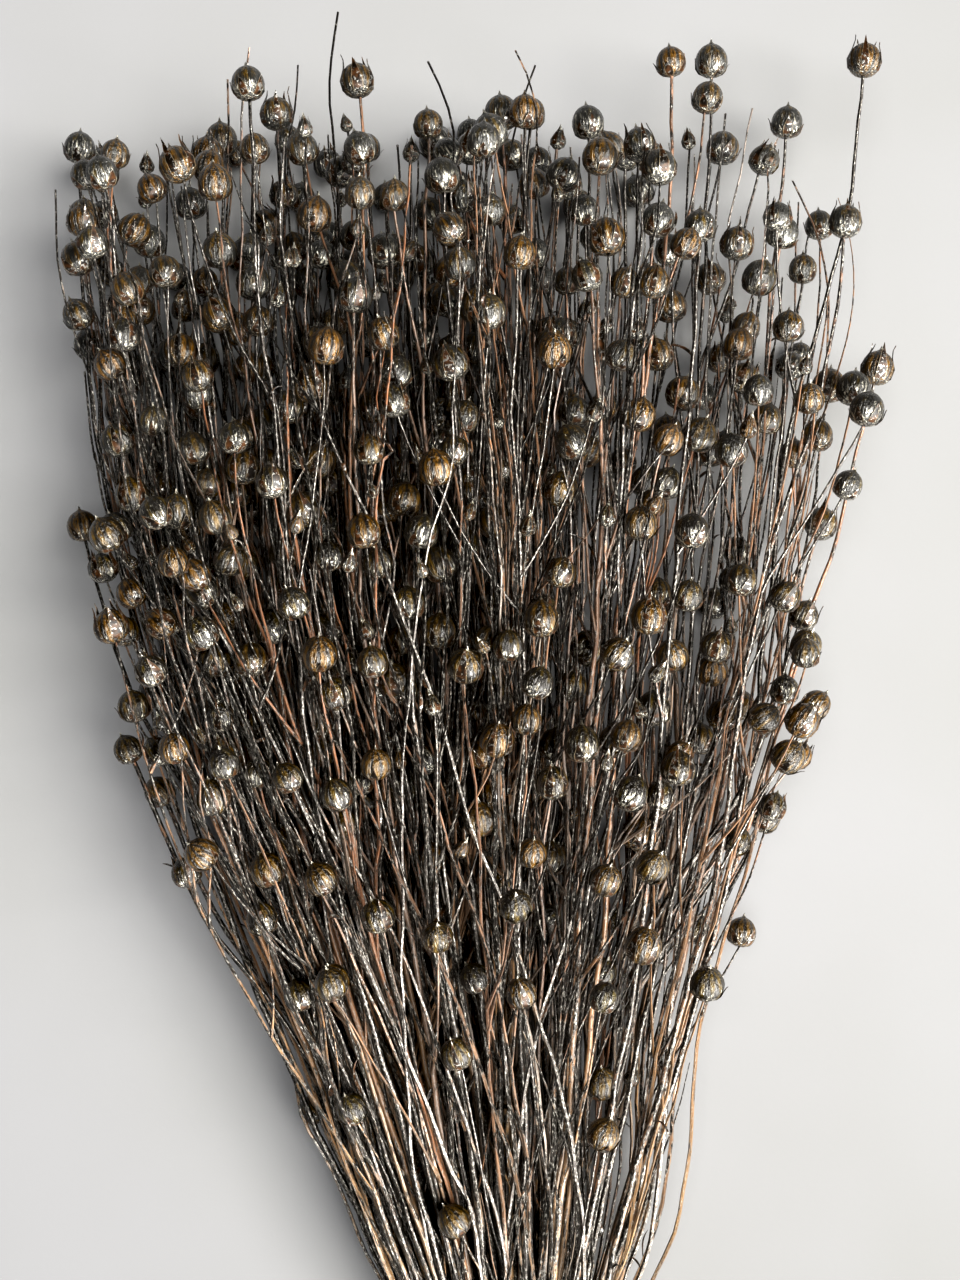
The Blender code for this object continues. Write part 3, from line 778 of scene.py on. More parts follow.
# A seed boll: height above its base and width there, as shares of its radius
boll = {
    "rings": (
        (0.0, 0.12), (0.03, 0.34), (0.12, 0.58), (0.29, 0.79), (0.55, 0.945), (0.86, 1.0), (1.15, 0.985),
        (1.41, 0.9), (1.63, 0.765), (1.8, 0.59), (1.91, 0.41), (1.98, 0.24), (2.05, 0.12), (2.17, 0.055),
        (2.3, 0.012),
    ),
    "width": 0.97,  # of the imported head's radius
    "sides": 30,
    "ribs": 5,  # pairs
    "ribDepth": 0.045,
    "lopsided": 0.04,
    "sepals": 5,
    "sepalSteps": (0.0, 0.18, 0.42, 0.68, 0.87, 1.0),
    "sepalWidths": (0.18, 0.27, 0.27, 0.16, 0.07, 0.012),
    "sepalReach": (0.65, 1.3),  # how high its tip comes
    "crownShare": 0.28,  # bolls whose sepals stand up round the beak like horns
    "crownReach": (2.0, 2.55),
    "crownHeights": (0, 0.8, 1.6, 2.2),
    "crownWidths": (0, 0.95, 0.84, 0.66),
    "budRings": (
        (0.0, 0.14), (0.08, 0.4), (0.35, 0.7), (0.8, 0.86), (1.25, 0.76), (1.7, 0.52), (2.1, 0.26),
        (2.45, 0.1), (2.75, 0.01),
    ),
    "budRibs": 0.3,  # how deep its ribs are beside a boll's
    "simpleSides": 20,  # of the filling's bolls
    "stretch": (0.94, 1.0),
    "flare": (-0.06, 0.3),  # how far a sepal's tip bends out
    "sepalSizes": (0.75, 1.15),
    "crownSizes": (0.75, 1.05),
    "askew": 0.15,
    # a sepal's section: its share sideways and outwards, and how much of a fold each corner is
    "sepalCorners": ((-1, 0.012), (0, -0.04), (1, 0.012), (0, 0.05)),
    # the edge corners take the pale margin, partly a painted bright rim of light
    "sepalEdges": (1.0, 0.5, 1.0, 0.0),
}


def headFrame(head):
    axis = unit(np.array(head.axis))
    side = unit(np.cross(axis, (0.31, 0.2, 0.93)))
    return np.array(head.base), axis, side, np.cross(axis, side)


def addBoll(shape, head, rng, bud=False, sides=boll["sides"]):
    base, axis, side, across = headFrame(head)
    radius = head.radius * boll["width"]
    heights, widths = np.array(boll["budRings" if bud else "rings"]).T
    stretch = rng.uniform(*boll["stretch"])
    turn = head.roll + np.arange(sides) * math.tau / sides
    rib = np.abs(np.sin(boll["ribs"] * np.arange(sides) * math.tau / sides))
    depth = boll["ribDepth"] * (boll["budRibs"] if bud else 1.0)
    swell = 1 - depth * (1 - rib) ** 0.7 * np.clip(widths * 1.6 - 0.3, 0, 1)[:, None]
    lean = rng.uniform(0, math.tau)
    swell = swell * (1 + boll["lopsided"] * np.cos(turn - lean) * rng.uniform(-1, 1))
    reach = widths[:, None] * swell * radius
    out = side * np.cos(turn)[:, None] + across * np.sin(turn)[:, None]
    rings = base + axis * (heights * stretch * head.radius)[:, None, None] + out * reach[..., None]
    tint = rng.random()
    local = np.empty((len(heights), sides, 3))
    local[..., 0] = np.cos(turn) * widths[:, None] + tint * 37
    local[..., 1] = np.sin(turn) * widths[:, None] + tint * 11
    local[..., 2] = heights[:, None]
    addRings(shape, rings, 1, tint, 0.5, np.broadcast_to(rib, (len(heights), sides)), local, endCap=1)
    crown = bud or rng.random() < boll["crownShare"]
    for k in range(boll["sepals"]):
        angle = head.roll + (k + rng.uniform(-boll["askew"], boll["askew"])) * math.tau / boll["sepals"]
        tip = rng.uniform(*boll["crownReach"] if crown else boll["sepalReach"])
        steps = np.array(boll["sepalSteps"])
        high = 0.02 + steps * (tip - 0.02)
        near = np.interp(high, heights, widths) * boll["width"]
        if crown and not bud:
            upright = np.interp(high, boll["crownHeights"], boll["crownWidths"])
            near = np.maximum(near, upright * rng.uniform(*boll["crownSizes"]))
        near = near + steps ** 5 * rng.uniform(*boll["flare"])
        wide = np.array(boll["sepalWidths"]) * rng.uniform(*boll["sepalSizes"])
        radial = side * math.cos(angle) + across * math.sin(angle)
        sideways = across * math.cos(angle) - side * math.sin(angle)
        skew = rng.uniform(-boll["askew"], boll["askew"]) * steps ** 2
        middle = base + axis * (high * stretch * head.radius)[:, None]
        middle = middle + sideways * (skew * head.radius)[:, None]
        points = []
        for sideShift, lift in boll["sepalCorners"]:
            spot = middle + radial * ((near + lift * (1 - steps * 0.5)) * head.radius)[:, None]
            points.append(spot + sideways * (sideShift * wide * head.radius)[:, None])
        addRings(shape, np.stack(points, axis=1), 2, tint, 0.5, np.array(boll["sepalEdges"]), endCap=2)


# The fine stem runs smoothly through the rings of its solid, a little crooked as straw is
fine = {
    "step": 5 * mm,
    "sides": 7,
    "crooked": ((0.1 * mm, 14 * mm), (0.16 * mm, 23 * mm), (0.26 * mm, 41 * mm)),
    "rough": 0.07,
    "shootStep": 4 * mm,
    "shootSides": 6,
    "forkSwelling": 0.7,
    # how much paint holds on, beside the stem's own share, by height in metres
    "paintHeights": (-0.06, 0.04, 0.13, 0.33),
    "paintShares": (-0.3, 0.12, 0.1, 0.34),
}


def smoothThrough(levels, knots, y):
    slopes = np.empty_like(knots)
    slopes[1:-1] = (knots[2:] - knots[:-2]) / (levels[2:] - levels[:-2])[:, None]
    slopes[0] = (knots[1] - knots[0]) / (levels[1] - levels[0])
    slopes[-1] = (knots[-1] - knots[-2]) / (levels[-1] - levels[-2])
    k = np.clip(np.searchsorted(levels, y) - 1, 0, len(levels) - 2)
    span = (levels[k + 1] - levels[k])[:, None]
    t = ((y - levels[k]) / span[:, 0])[:, None]
    low, high = knots[k], knots[k + 1]
    return (low * (2 * t ** 3 - 3 * t ** 2 + 1) + slopes[k] * span * (t ** 3 - 2 * t ** 2 + t)
            + high * (3 * t ** 2 - 2 * t ** 3) + slopes[k + 1] * span * (t ** 3 - t ** 2))


def crook(y, top, rng, strength=1.0):
    shift = np.zeros((len(y), 3))
    for size, length in fine["crooked"]:
        length = length * rng.uniform(0.8, 1.3)
        shift[:, 0] += size * np.sin(y * math.tau / length + rng.uniform(0, math.tau))
        shift[:, 2] += size * np.sin(y * math.tau / length + rng.uniform(0, math.tau))
    calm = np.clip((top - y) / (12 * mm), 0, 1) * np.clip(np.abs(y) / (25 * mm), 0.15, 1)
    return shift * (calm * strength)[:, None]


def pointOn(line, y):
    return np.stack([np.interp(y, line.points[:, 1], line.points[:, c]) for c in range(3)], axis=-1)


def highInBunch(point):
    # 0 on the table, 1 at the upper side of the fan there
    across = (point[0] - fan["lean"] * opened(point[1])) / halfSize(point[1], fan["halfWidth"])
    low = waistHeight - fan["waistRadius"]
    most = math.sqrt(max(1 - across * across, 0.05)) - fan["sag"] * opened(point[1]) * across * across
    return point[2] / (low + halfSize(point[1], fan["halfDepth"]) * (1 + most))


def alongStem(points, radii, sides):
    # places on the stem as if it were straight: across, along and up
    gone = np.concatenate(([0], np.cumsum(np.linalg.norm(np.diff(points, axis=0), axis=1))))
    turn = np.arange(sides) * math.tau / sides
    places = np.empty((len(points), sides, 3))
    places[..., 0] = np.cos(turn) * radii[:, None]
    places[..., 1] = gone[:, None] + points[0, 1]
    places[..., 2] = np.sin(turn) * radii[:, None]
    return places


def sprayReachAndDepthShade(points):
    # the spray reached the outside of the bunch most; the fewer silver specks deep inside also paint in the
    # shade there
    shares = []
    for x, y, z in points:
        across = abs(x - fan["lean"] * opened(y)) / halfSize(y, fan["halfWidth"])
        shares.append(max(abs(2 * highInBunch((x, y, z)) - 1), across))
    return np.clip((np.array(shares) - 0.2) / 0.5, 0, 1)[:, None]


def addStem(shape, line, rng, sides, tint, paint):
    rough = 1 + rng.normal(0, fine["rough"], (len(line.points), sides))
    rings = tube(line.points, line.radii, sides, rng.uniform(0, 6))
    rings = line.points[:, None] + (rings - line.points[:, None]) * rough[..., None]
    # the rib attribute carries this share: more spray outside, and painted shade deep in the bunch
    spray = sprayReachAndDepthShade(line.points)
    spray[0] = 0
    addRings(shape, rings, 0, tint, paint[:, None], spray, alongStem(line.points, line.radii, sides),
             startCap=3, endCap=0)
    # the middle of the cut end is pith
    shape.rib[-1][len(line.points) * sides] = 1.0


def paintAlong(y, cover):
    return np.clip(cover + np.interp(y, fine["paintHeights"], fine["paintShares"]), 0, 1)


def addShoot(shape, points, radii, sides, tint, cover):
    addRings(shape, tube(points, radii, sides), 0, tint, paintAlong(points[:, 1], cover)[:, None],
             sprayReachAndDepthShade(points), alongStem(points, radii, sides), endCap=0)


def shootLine(line, fork, end, radii):
    length = end[1] - fork
    t = np.linspace(0, 1, max(4, math.ceil(length / fine["shootStep"])))
    t = np.insert(t, 1, 0.06)
    y = fork + length * t
    offset = end - pointOn(line, np.array([end[1]]))[0]
    points = pointOn(line, y) + offset * (t * (1 + shootRule["curve"] * (1 - t)))[:, None]
    thick = radii[0] + (radii[1] - radii[0]) * t
    return points, thick * (1 + fine["forkSwelling"] * np.exp(-t * length / (3 * mm)))


def fineLine(plant, rng):
    levels = np.array(plant.levels)
    knots = np.array([tuple(k) for k in plant.knots])
    y = np.linspace(plant.butt, plant.top, math.ceil((plant.top - plant.butt) / fine["step"]))
    points = smoothThrough(levels, knots, y) + crook(y, plant.top, rng)
    radii = np.array([stemRadius(v, plant.top) for v in y]) * stem["roundness"] * rng.uniform(0.88, 1.14)
    return SimpleNamespace(points=points, radii=radii, top=plant.top)


fineSpots, fineSizes = [], []  # places along the fine stems and shoots, and how thick they are there


def noteLine(points, radii):
    fineSpots.append(np.vstack((points, (points[1:] + points[:-1]) / 2)))
    fineSizes.append(np.concatenate((radii, (radii[1:] + radii[:-1]) / 2)))


def makeFinePlant(plant):
    rng = np.random.default_rng(100 + plant.number)
    shape = newShape()
    line = fineLine(plant, rng)
    plant.line = line
    tint, cover = rng.random(), rng.uniform(0.05, 0.85)
    noteLine(line.points, line.radii)
    addStem(shape, line, rng, fine["sides"], tint, paintAlong(line.points[:, 1], cover))
    for shoot in plant.shoots:
        radii = [r * stem["roundness"] * rng.uniform(0.9, 1.15) for r in shootRule["radii"]]
        points, thick = shootLine(line, shoot.fork, np.array(shoot.end), radii)
        noteLine(points, thick)
        addShoot(shape, points, thick, fine["shootSides"], tint, cover)
        addBoll(shape, shoot.head, rng, bud=shoot.head.radius == headRule["budRadius"])
    addBoll(shape, plant.head, rng, bud=plant.head.radius == headRule["budRadius"])
    number = f"{plant.number + 1:02d}"
    finishShape(shape, "flaxPlant" + number, flaxMaterials, ("plant_" + number,))


for plant in plants:
    makeFinePlant(plant)
fineSpots, fineSizes = np.vstack(fineSpots), np.concatenate(fineSizes)
print("fine plants made")

# Soft light from a window on the right, a wide screen at the lower right that shines on the flax alone, and
# one above for the table between the stems; the camera is straight above
studio = {
    "middle": (-9 * mm, 207 * mm, 37 * mm),
    "cameraHeight": 400 * mm,
    "lens": 50.0,
    "window": {"from": (0.55, -0.02, 0.84), "away": 4.0, "size": 2.4, "power": 230.0, "colour": "#fffdf9"},
    "screen": {"from": (0.5, -0.66, 0.52), "away": 4.0, "size": 3.6, "power": 420.0, "colour": "#fffefb"},
    "overhead": {"from": (0.0, 0.05, 1.0), "away": 4.0, "size": 2.4, "power": 95.0, "colour": "#fdfdff"},
    "sky": "#eef0f0",
    "skyStrength": 0.04,
    "exposure": 0.53,
    "gamma": 0.74,
    "black": 0.007,  # the camera's darkest shade
}

# More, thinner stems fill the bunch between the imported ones
filling = {
    "seed": 41,
    "stems": 150,
    "waistTries": 60000,
    "radii": (0.62 * mm, 0.42 * mm, 0.24 * mm),
    "tallest": 322 * mm,
    "shortest": 150 * mm,
    "drift": 0.24,
    "bow": (0.12, 0.28),  # how much wider they bow out above the band, on the left and on the right
    "crossing": 0.32,  # share of the upper ones that lie across the others
    "crossingDrift": (0.5, 1.15),
    "wave": (0.6 * mm, 2.4 * mm),
    "waveLengths": (60 * mm, 150 * mm),
    "bowHeight": 60 * mm,
    "bowSpan": 34 * mm,
    "rise": 12 * mm,  # above this they start to spread
    "spread": 190 * mm,
    "crossingSpread": 290 * mm,
    "topTaken": 50 * mm,  # within this the crossing ones come up to the upper side
    "rim": 0.97,
    "splay": 0.25,  # below the band
    "splaySpan": 120 * mm,
    "branches": 150,  # long ones, from low forks
    "branchForks": (40 * mm, 160 * mm),
    "branchReach": (6 * mm, 32 * mm),
    "branchTops": (200, 328),  # in mm
    "pastFork": 40 * mm,  # how far the stem goes on at least
    "flatten": 0.7,
    "lowBranches": 190,  # these droop towards the table
    "lowForks": (25 * mm, 90 * mm),
    "lowHeights": (1.2 * mm, 11 * mm),
    "lowReach": (4 * mm, 18 * mm),
    "branchRadii": (0.42 * mm, 0.22 * mm),
    "bolls": 285,
    "lowest": 126 * mm,
    "bandHeight": 22.5 * mm,
    # their share in each band of height, from the lowest up
    "bollBands": (9, 16, 34, 42, 38, 28, 24, 26, 22, 4),
    "bollTries": 9000,
    "bollSizes": (3.3, 4.1),  # in mm
    "budSizes": (1.6, 2.2),
    "bareStems": 0.25,
    "budShares": (0.15, 0.1),  # on the stems' tips and on the shoots
    # how high the fan reaches as the camera sees it: across and along, in mm
    "outline": (
        (-108, 324), (-94, 317), (-67, 319), (-57, 327), (-31, 329), (-20, 322), (0, 326), (18, 325),
        (27, 320), (36, 326), (54, 324), (67, 309), (76, 303), (83, 277),
    ),
    "stemsBelow": 5 * mm,  # below that outline
    "shootsPast": 4 * mm,
    "frontBelow": 240 * mm,  # below this height bolls only sit on the upper side
    "frontShare": 0.6,  # and this share of the others
    "sparser": 0.48,
    "tipBend": 6 * mm,  # sideways, of the bare tips
    "tipLength": 26 * mm,
    "bareShoots": 560,
    "shootRadii": (0.32 * mm, 0.22 * mm),
    "shootLengths": (22 * mm, 70 * mm),
    "shootReach": (4 * mm, 21 * mm),
    "leastShoot": 12 * mm,
    "sides": 5,
    "branchSides": 4,
    "spikes": (  # bare tips above the fan's outline: across and along, in mm
        (-70, 334), (-65, 338), (-55, 337), (-44, 347), (-16, 333), (-3, 337), (3, 334), (48, 327),
        (52, 328), (73, 313),
    ),
}


def waistSpots(rng):
    waist = fan["waistRadius"]
    taken = [(p.a * waist, p.b * waist, stem["radii"][0] * stem["roundness"]) for p in plants]
    spots = []
    for _ in range(filling["waistTries"]):
        if len(spots) == filling["stems"]:
            break
        radius = filling["radii"][0] * rng.uniform(0.75, 1.1)
        away = (waist + 0.9 * mm - radius) * math.sqrt(rng.random())
        angle = rng.uniform(0, math.tau)
        x, z = away * math.cos(angle), away * math.sin(angle)
        if all(math.hypot(x - a, z - b) > radius + r + 0.02 * mm for a, b, r in taken):
            taken.append((x, z, radius))
            spots.append((x / waist, z / waist, radius))
    return spots


def ease(t):
    t = min(max(t, 0), 1)
    return t * t * (3 - 2 * t)


def newLine(points, radii, start, top, tint, cover, bare):
    return SimpleNamespace(points=points, radii=radii, start=start, top=top, tint=tint, cover=cover,
                           bare=bare, head=None, shoots=[])


def fillingLine(spot, rng, tip=None):
    a, b, radius = spot
    turn, size = rng.uniform(0, math.tau), filling["drift"] * abs(rng.normal())
    endA, endB = a + size * math.cos(turn), b + size * math.sin(turn)
    far = math.hypot(endA, endB)
    if far > filling["rim"]:
        endA, endB = endA * filling["rim"] / far, endB * filling["rim"] / far
    crossing = b > 0.15 and tip is None and rng.random() < filling["crossing"]
    if crossing:
        endA = a + rng.choice((-1, 1)) * rng.uniform(*filling["crossingDrift"])
        endA = min(max(endA, -0.9), 0.9)
    shorter = filling["tallest"] - filling["shortest"]
    top = filling["tallest"] - shorter * rng.random() ** stem["heightPower"]
    if tip is not None:
        top = tip[1]
        endA = min(max((tip[0] - fan["lean"]) / fan["halfWidth"], -0.96), 0.96)
        endB = rng.uniform(-0.3, 0.7) * math.sqrt(1 - endA * endA)
    butt = -rng.uniform(stem["buttLengths"][0] - 10 * mm, stem["buttLengths"][1])
    y = np.linspace(butt, top, math.ceil((top - butt) / fine["step"]))
    size, length = rng.uniform(*filling["wave"]), rng.uniform(*filling["waveLengths"])
    phaseX, phaseZ = rng.uniform(0, math.tau), rng.uniform(0, math.tau)
    splay = [rng.uniform(-filling["splay"], filling["splay"]) for _ in range(2)]
    points = []
    for v in y:
        risen = v - filling["rise"]
        share = ease(risen / filling["spread"])
        low = ease((-v - filling["rise"]) / filling["splaySpan"])
        nowA, nowB = a + (endA - a) * share + splay[0] * low, b + (endB - b) * share + splay[1] * low
        if crossing and risen > 0:
            nowA = a + (endA - a) * ease(risen / filling["crossingSpread"])
            nowB = b + (math.sqrt(1 - nowA * nowA) - b) * ease(risen / filling["topTaken"])
        far = max(math.hypot(nowA, nowB), 1)
        offBow = (v - filling["bowHeight"]) / filling["bowSpan"]
        bow = 1 + filling["bow"][nowA > 0] * math.exp(-offBow ** 2)
        point = flowPoint(nowA / far * bow, nowB / far, v)
        wave = v * math.tau / length
        point.x += size * opened(v) * math.sin(wave + phaseX)
        point.z += size * opened(v) * math.sin(wave + phaseZ)
        points.append(tuple(point))
    points = np.array(points) + crook(y, top, rng, 0.9)
    if tip is None:
        points, y = cutBack(points, y)
        top = y[-1]
    else:
        bent = np.clip((y - top) / filling["tipLength"] + 1, 0, 1) ** 2
        points[:, 0] += math.sin(1.7 * tip[0] / mm) * filling["tipBend"] * bent
    base, middle, end = [r * radius / filling["radii"][0] for r in filling["radii"]]
    radii = np.interp(y, (0, stem["middle"], top), (base, middle, end))
    return newLine(points, radii, butt, top, rng.random(), rng.uniform(0.1, 1.0), tip is not None)


def lineHead(rng, points, bud):
    end = points[-1]
    axis = unit(end - points[-3]) + rng.uniform(-headRule["tilt"], headRule["tilt"], 3)
    radius = rng.uniform(*filling["budSizes" if bud else "bollSizes"]) * mm
    return newHead(Vector(end), Vector(axis), radius, rng.uniform(0, math.tau))


def headHasRoom(head):
    centre = head.base + head.axis * head.radius
    gaps = np.linalg.norm(fineSpots - np.array(centre), axis=1) - fineSizes
    if pastOutline(centre) > 0 or gaps.min() < head.radius * 1.02:
        return False
    for point, radius in headSamples(head):
        if point.z < radius + 0.2 * mm or point.z + radius > cadBox[1][2] + 0.6 * mm:
            return False
        if not isClear(room, point, radius):
            return False
        if point.y + radius > cadBox[1][1] - 1 * mm or pastFan(point, fan["shootOutliers"]):
            return False
    return True


def isThin(tip, rng):
    # the bunch is sparser on its right, where the table shows between the stems
    across = tip[0] / (fan["halfWidth"] * opened(tip[1]))
    return rng.random() < filling["sparser"] * min(max((across - 0.1) / 0.3, 0), 1)


def drawFilling():
    rng = np.random.default_rng(filling["seed"])
    spots = waistSpots(rng)
    lines = []
    for spot, spike in zip_longest(spots, filling["spikes"]):
        line = fillingLine(spot, rng, spike and (spike[0] * mm, spike[1] * mm))
        if spike or not isThin(line.points[-1], rng):
            lines.append(line)
    stems = len(lines)
    for k in range(filling["branches"] + filling["lowBranches"]):
        line = branchLine(lines[int(rng.integers(stems))], rng, k >= filling["branches"])
        if line is not None and not isThin(line.points[-1], rng):
            lines.append(line)
    for k, line in enumerate(lines):
        if line.bare or rng.random() < filling["bareStems"]:
            continue
        bud = rng.random() < filling["budShares"][0]
        head = lineHead(rng, line.points, bud)
        if headHasRoom(head):
            takeRoom(room, headSamples(head), ("line", k))
            line.head = (head, bud)
    bands = np.array(filling["bollBands"], float)
    made = tries = 0
    while made < filling["bolls"] and tries < filling["bollTries"]:
        tries += 1
        band = rng.choice(len(bands), p=bands / bands.sum())
        endY = filling["lowest"] + filling["bandHeight"] * (band + rng.random())
        shoot, k = drawFillingShoot(lines, endY, rng)
        front = endY < filling["frontBelow"] or rng.random() < filling["frontShare"]
        if shoot is None or (front and highInBunch(shoot[0][-1]) < 0.6):
            continue
        bud = rng.random() < filling["budShares"][1]
        head = lineHead(rng, shoot[0], bud)
        if headHasRoom(head):
            takeRoom(room, headSamples(head), ("shoot", made))
            lines[k].shoots.append((*shoot, head, bud))
            made += 1
    for _ in range(filling["bareShoots"]):
        shoot, k = drawFillingShoot(lines, rng.uniform(55, 332) * mm, rng)
        if shoot is not None:
            points, thick = shoot
            lines[k].shoots.append((points, thick * np.linspace(1, 0.35, len(thick)), None, False))
    print("filling:", len(lines), "stems,", made + sum(1 for line in lines if line.head), "bolls")
    return lines


def pastOutline(point):
    # how far it stands past the outline; higher points show further out, being nearer to the camera
    middle, far = studio["middle"], studio["cameraHeight"]
    nearer = far / (far + middle[2] - point[2])
    across = middle[0] + (point[0] - middle[0]) * nearer
    along = middle[1] + (point[1] - middle[1]) * nearer
    return along - float(np.interp(across / mm, *zip(*filling["outline"]))) * mm


def cutBack(points, y):
    keep = len(points)
    while keep > 4 and pastOutline(points[keep - 1]) > -filling["stemsBelow"]:
        keep -= 1
    return points[:keep], y[:keep]


def branchLine(parent, rng, low):
    fork = rng.uniform(*filling["lowForks" if low else "branchForks"])
    top = rng.uniform(*filling["branchTops"]) * mm
    if parent.top < fork + filling["pastFork"]:
        return None
    angle, reach = rng.uniform(0, math.tau), rng.uniform(*filling["lowReach" if low else "branchReach"])
    y = np.linspace(fork, top, math.ceil((top - fork) / fine["step"]))
    t = (y - fork) / (top - fork)
    lean = np.array([(p[0], p[2]) for p in parent.points])
    slope = (lean[-1] - lean[-5]) / (parent.points[-1, 1] - parent.points[-5, 1])
    past = np.clip(y - parent.top, 0, None)
    points = pointOn(parent, y)
    points[:, 1] = y
    points[:, 0] += past * slope[0] + reach * math.cos(angle) * t * (1.4 - 0.4 * t)
    points[:, 2] += past * slope[1] + reach * filling["flatten"] * math.sin(angle) * t * (1.4 - 0.4 * t)
    points += crook(y, top, rng, 1.1) * np.clip(t * 5, 0, 1)[:, None]
    if low:
        droop = np.clip(t * 2.2, 0, 1) ** 1.5
        points[:, 2] += (rng.uniform(*filling["lowHeights"]) - points[:, 2]) * droop
    points[:, 2] = np.clip(points[:, 2], 0.8 * mm, cadBox[1][2] - 3 * mm)
    for point in points:
        point[0] -= pastFan(Vector(point), 0)
    points, y = cutBack(points, y)
    top, t = y[-1], t[:len(y)]
    radii = np.interp(t, (0, 1), filling["branchRadii"]) * rng.uniform(0.85, 1.15)
    bare = rng.random() < filling["bareStems"]
    return newLine(points, radii, fork, top, parent.tint, parent.cover, bare)


def drawFillingShoot(lines, endY, rng):
    k = int(rng.integers(len(lines)))
    line = lines[k]
    if line.top < endY - 6 * mm:
        return None, k
    fork = max(endY - rng.uniform(*filling["shootLengths"]), line.start + 3 * mm)
    if endY - fork < filling["leastShoot"]:
        return None, k
    angle = rng.uniform(0, math.tau)
    reach = rng.uniform(*filling["shootReach"])
    foot = pointOn(line, np.array([min(endY, line.top)]))[0]
    up = foot[2] + reach * filling["flatten"] * math.sin(angle)
    end = np.array((foot[0] + reach * math.cos(angle), endY, up))
    if pastFan(Vector(end), fan["shootOutliers"]) or end[2] < 1 * mm or end[2] > cadBox[1][2] - 2 * mm:
        return None, k
    if pastOutline(end) > filling["shootsPast"]:
        return None, k
    points, thick = shootLine(line, fork, end, filling["shootRadii"])
    return (points, thick), k


# Stems lie beside the bolls, not through them
detour = {"rounds": 10, "ownBoll": 1.25, "gap": 0.25 * mm, "enough": 0.02 * mm, "smoothings": 3, "most": 2.5}


def goRound(points, radii, balls, ownEnd):
    centres, sizes = balls
    keep = np.ones(len(centres), bool)
    if ownEnd is not None:
        keep = np.linalg.norm(centres - ownEnd, axis=1) > sizes * detour["ownBoll"]
    centres, sizes = centres[keep], sizes[keep]
    for _ in range(detour["rounds"]):
        gap = points[:, None] - centres
        far = np.linalg.norm(gap, axis=2)
        lack = np.clip(sizes + radii[:, None] + detour["gap"] - far, 0, None)
        if lack.max() < detour["enough"]:
            break
        gap[..., 1] = 0
        shift = (unit(gap) * lack[..., None]).sum(axis=1)
        spread = shift.copy()
        for _ in range(detour["smoothings"]):
            spread[1:-1] = (spread[:-2] + spread[2:]) * 0.25 + spread[1:-1] * 0.5
        scale = np.abs(shift).max() / max(np.abs(spread).max(), 1e-9)
        spread *= min(scale, detour["most"])
        spread[0] = 0
        if ownEnd is not None:
            spread[-1] = 0
        points = points + spread
    return points


def makeFilling():
    lines = drawFilling()
    heads = [h for p in plants for h in [p.head] + [s.head for s in p.shoots]]
    heads += [line.head[0] for line in lines if line.head]
    heads += [s[2] for line in lines for s in line.shoots if s[2]]
    centres = np.array([tuple(h.base + h.axis * h.radius) for h in heads])
    balls = centres, np.array([h.radius for h in heads])
    stems, bolls = ([newShape() for _ in range(3)] for _ in range(2))
    rng = np.random.default_rng(filling["seed"] + 1)
    for k, line in enumerate(lines):
        part = k % 3
        before = line.points
        own = line.points[-1] if line.head else None
        line.points = goRound(line.points, line.radii, balls, own)
        if line.start > 0:  # a branch
            addShoot(stems[part], line.points, line.radii, filling["branchSides"], line.tint, line.cover)
        else:
            cover = paintAlong(line.points[:, 1], line.cover)
            addStem(stems[part], line, rng, filling["sides"], line.tint, cover)
        if line.head:
            addBoll(bolls[part], line.head[0], rng, line.head[1], boll["simpleSides"])
        for points, thick, head, bud in line.shoots:
            moved = pointOn(SimpleNamespace(points=line.points), points[:, 1])
            moved = moved - pointOn(SimpleNamespace(points=before), points[:, 1])
            points = points + moved * np.linspace(1, 0, len(points))[:, None]
            points = goRound(points, thick, balls, points[-1] if head else None)
            addShoot(stems[part], points, thick, filling["branchSides"], line.tint, line.cover)
            if head:
                addBoll(bolls[part], head, rng, bud, boll["simpleSides"])
    for part, letter in enumerate("ABC"):
        finishShape(stems[part], "fillingStems" + letter, flaxMaterials)
        finishShape(bolls[part], "fillingBolls" + letter, flaxMaterials)
    return lines


lines = makeFilling()
print("filling made")

# Shrivelled leaves along the stems, and torn fibres of the rind
scraps = {
    "seed": 5,
    "leaves": 820,
    "lowest": -0.09,
    "lowDown": 1.3,  # more than 1 puts more of them low down
    "offBand": 0.02,
    "lengths": (2.5 * mm, 11 * mm),
    "widths": (0.3 * mm, 0.8 * mm),
    "thickness": 0.07 * mm,
    "steps": 8,
    "curl": 2.3,
    "fibres": 110,
    "fibreLengths": (7 * mm, 22 * mm),
    "fibreRadius": 0.09 * mm,
}


def turned(vector, axis, angle):
    return (vector * math.cos(angle) + np.cross(axis, vector) * math.sin(angle)
            + axis * axis.dot(vector) * (1 - math.cos(angle)))


def ribbon(start, along, curlAxis, length, width, rng):
    steps = scraps["steps"]
    points, across = [start], [curlAxis]
    curl = rng.uniform(0.3, scraps["curl"]) / steps
    twist = rng.uniform(-1.6, 1.6) / steps
    for k in range(1, steps):
        along = unit(turned(along, curlAxis, curl * (0.5 + 1.5 * k / steps)))
        curlAxis = unit(turned(curlAxis, along, twist))
        points.append(points[-1] + along * length / steps)
        across.append(curlAxis)
    points, across = np.array(points), np.array(across)
    normal = unit(np.cross(np.gradient(points, axis=0), across))
    s = np.linspace(0, 1, steps)
    wide = width * (0.35 + 1.3 * s * (1 - s) * 2) * (1 - s ** 3) + 0.03 * mm
    fold = wide * rng.uniform(0.2, 0.7)
    thick = scraps["thickness"]
    rings = (points - across * wide[:, None], points - normal * (fold - thick)[:, None],
             points + across * wide[:, None], points - normal * (fold + thick)[:, None])
    return np.stack(rings, axis=1)


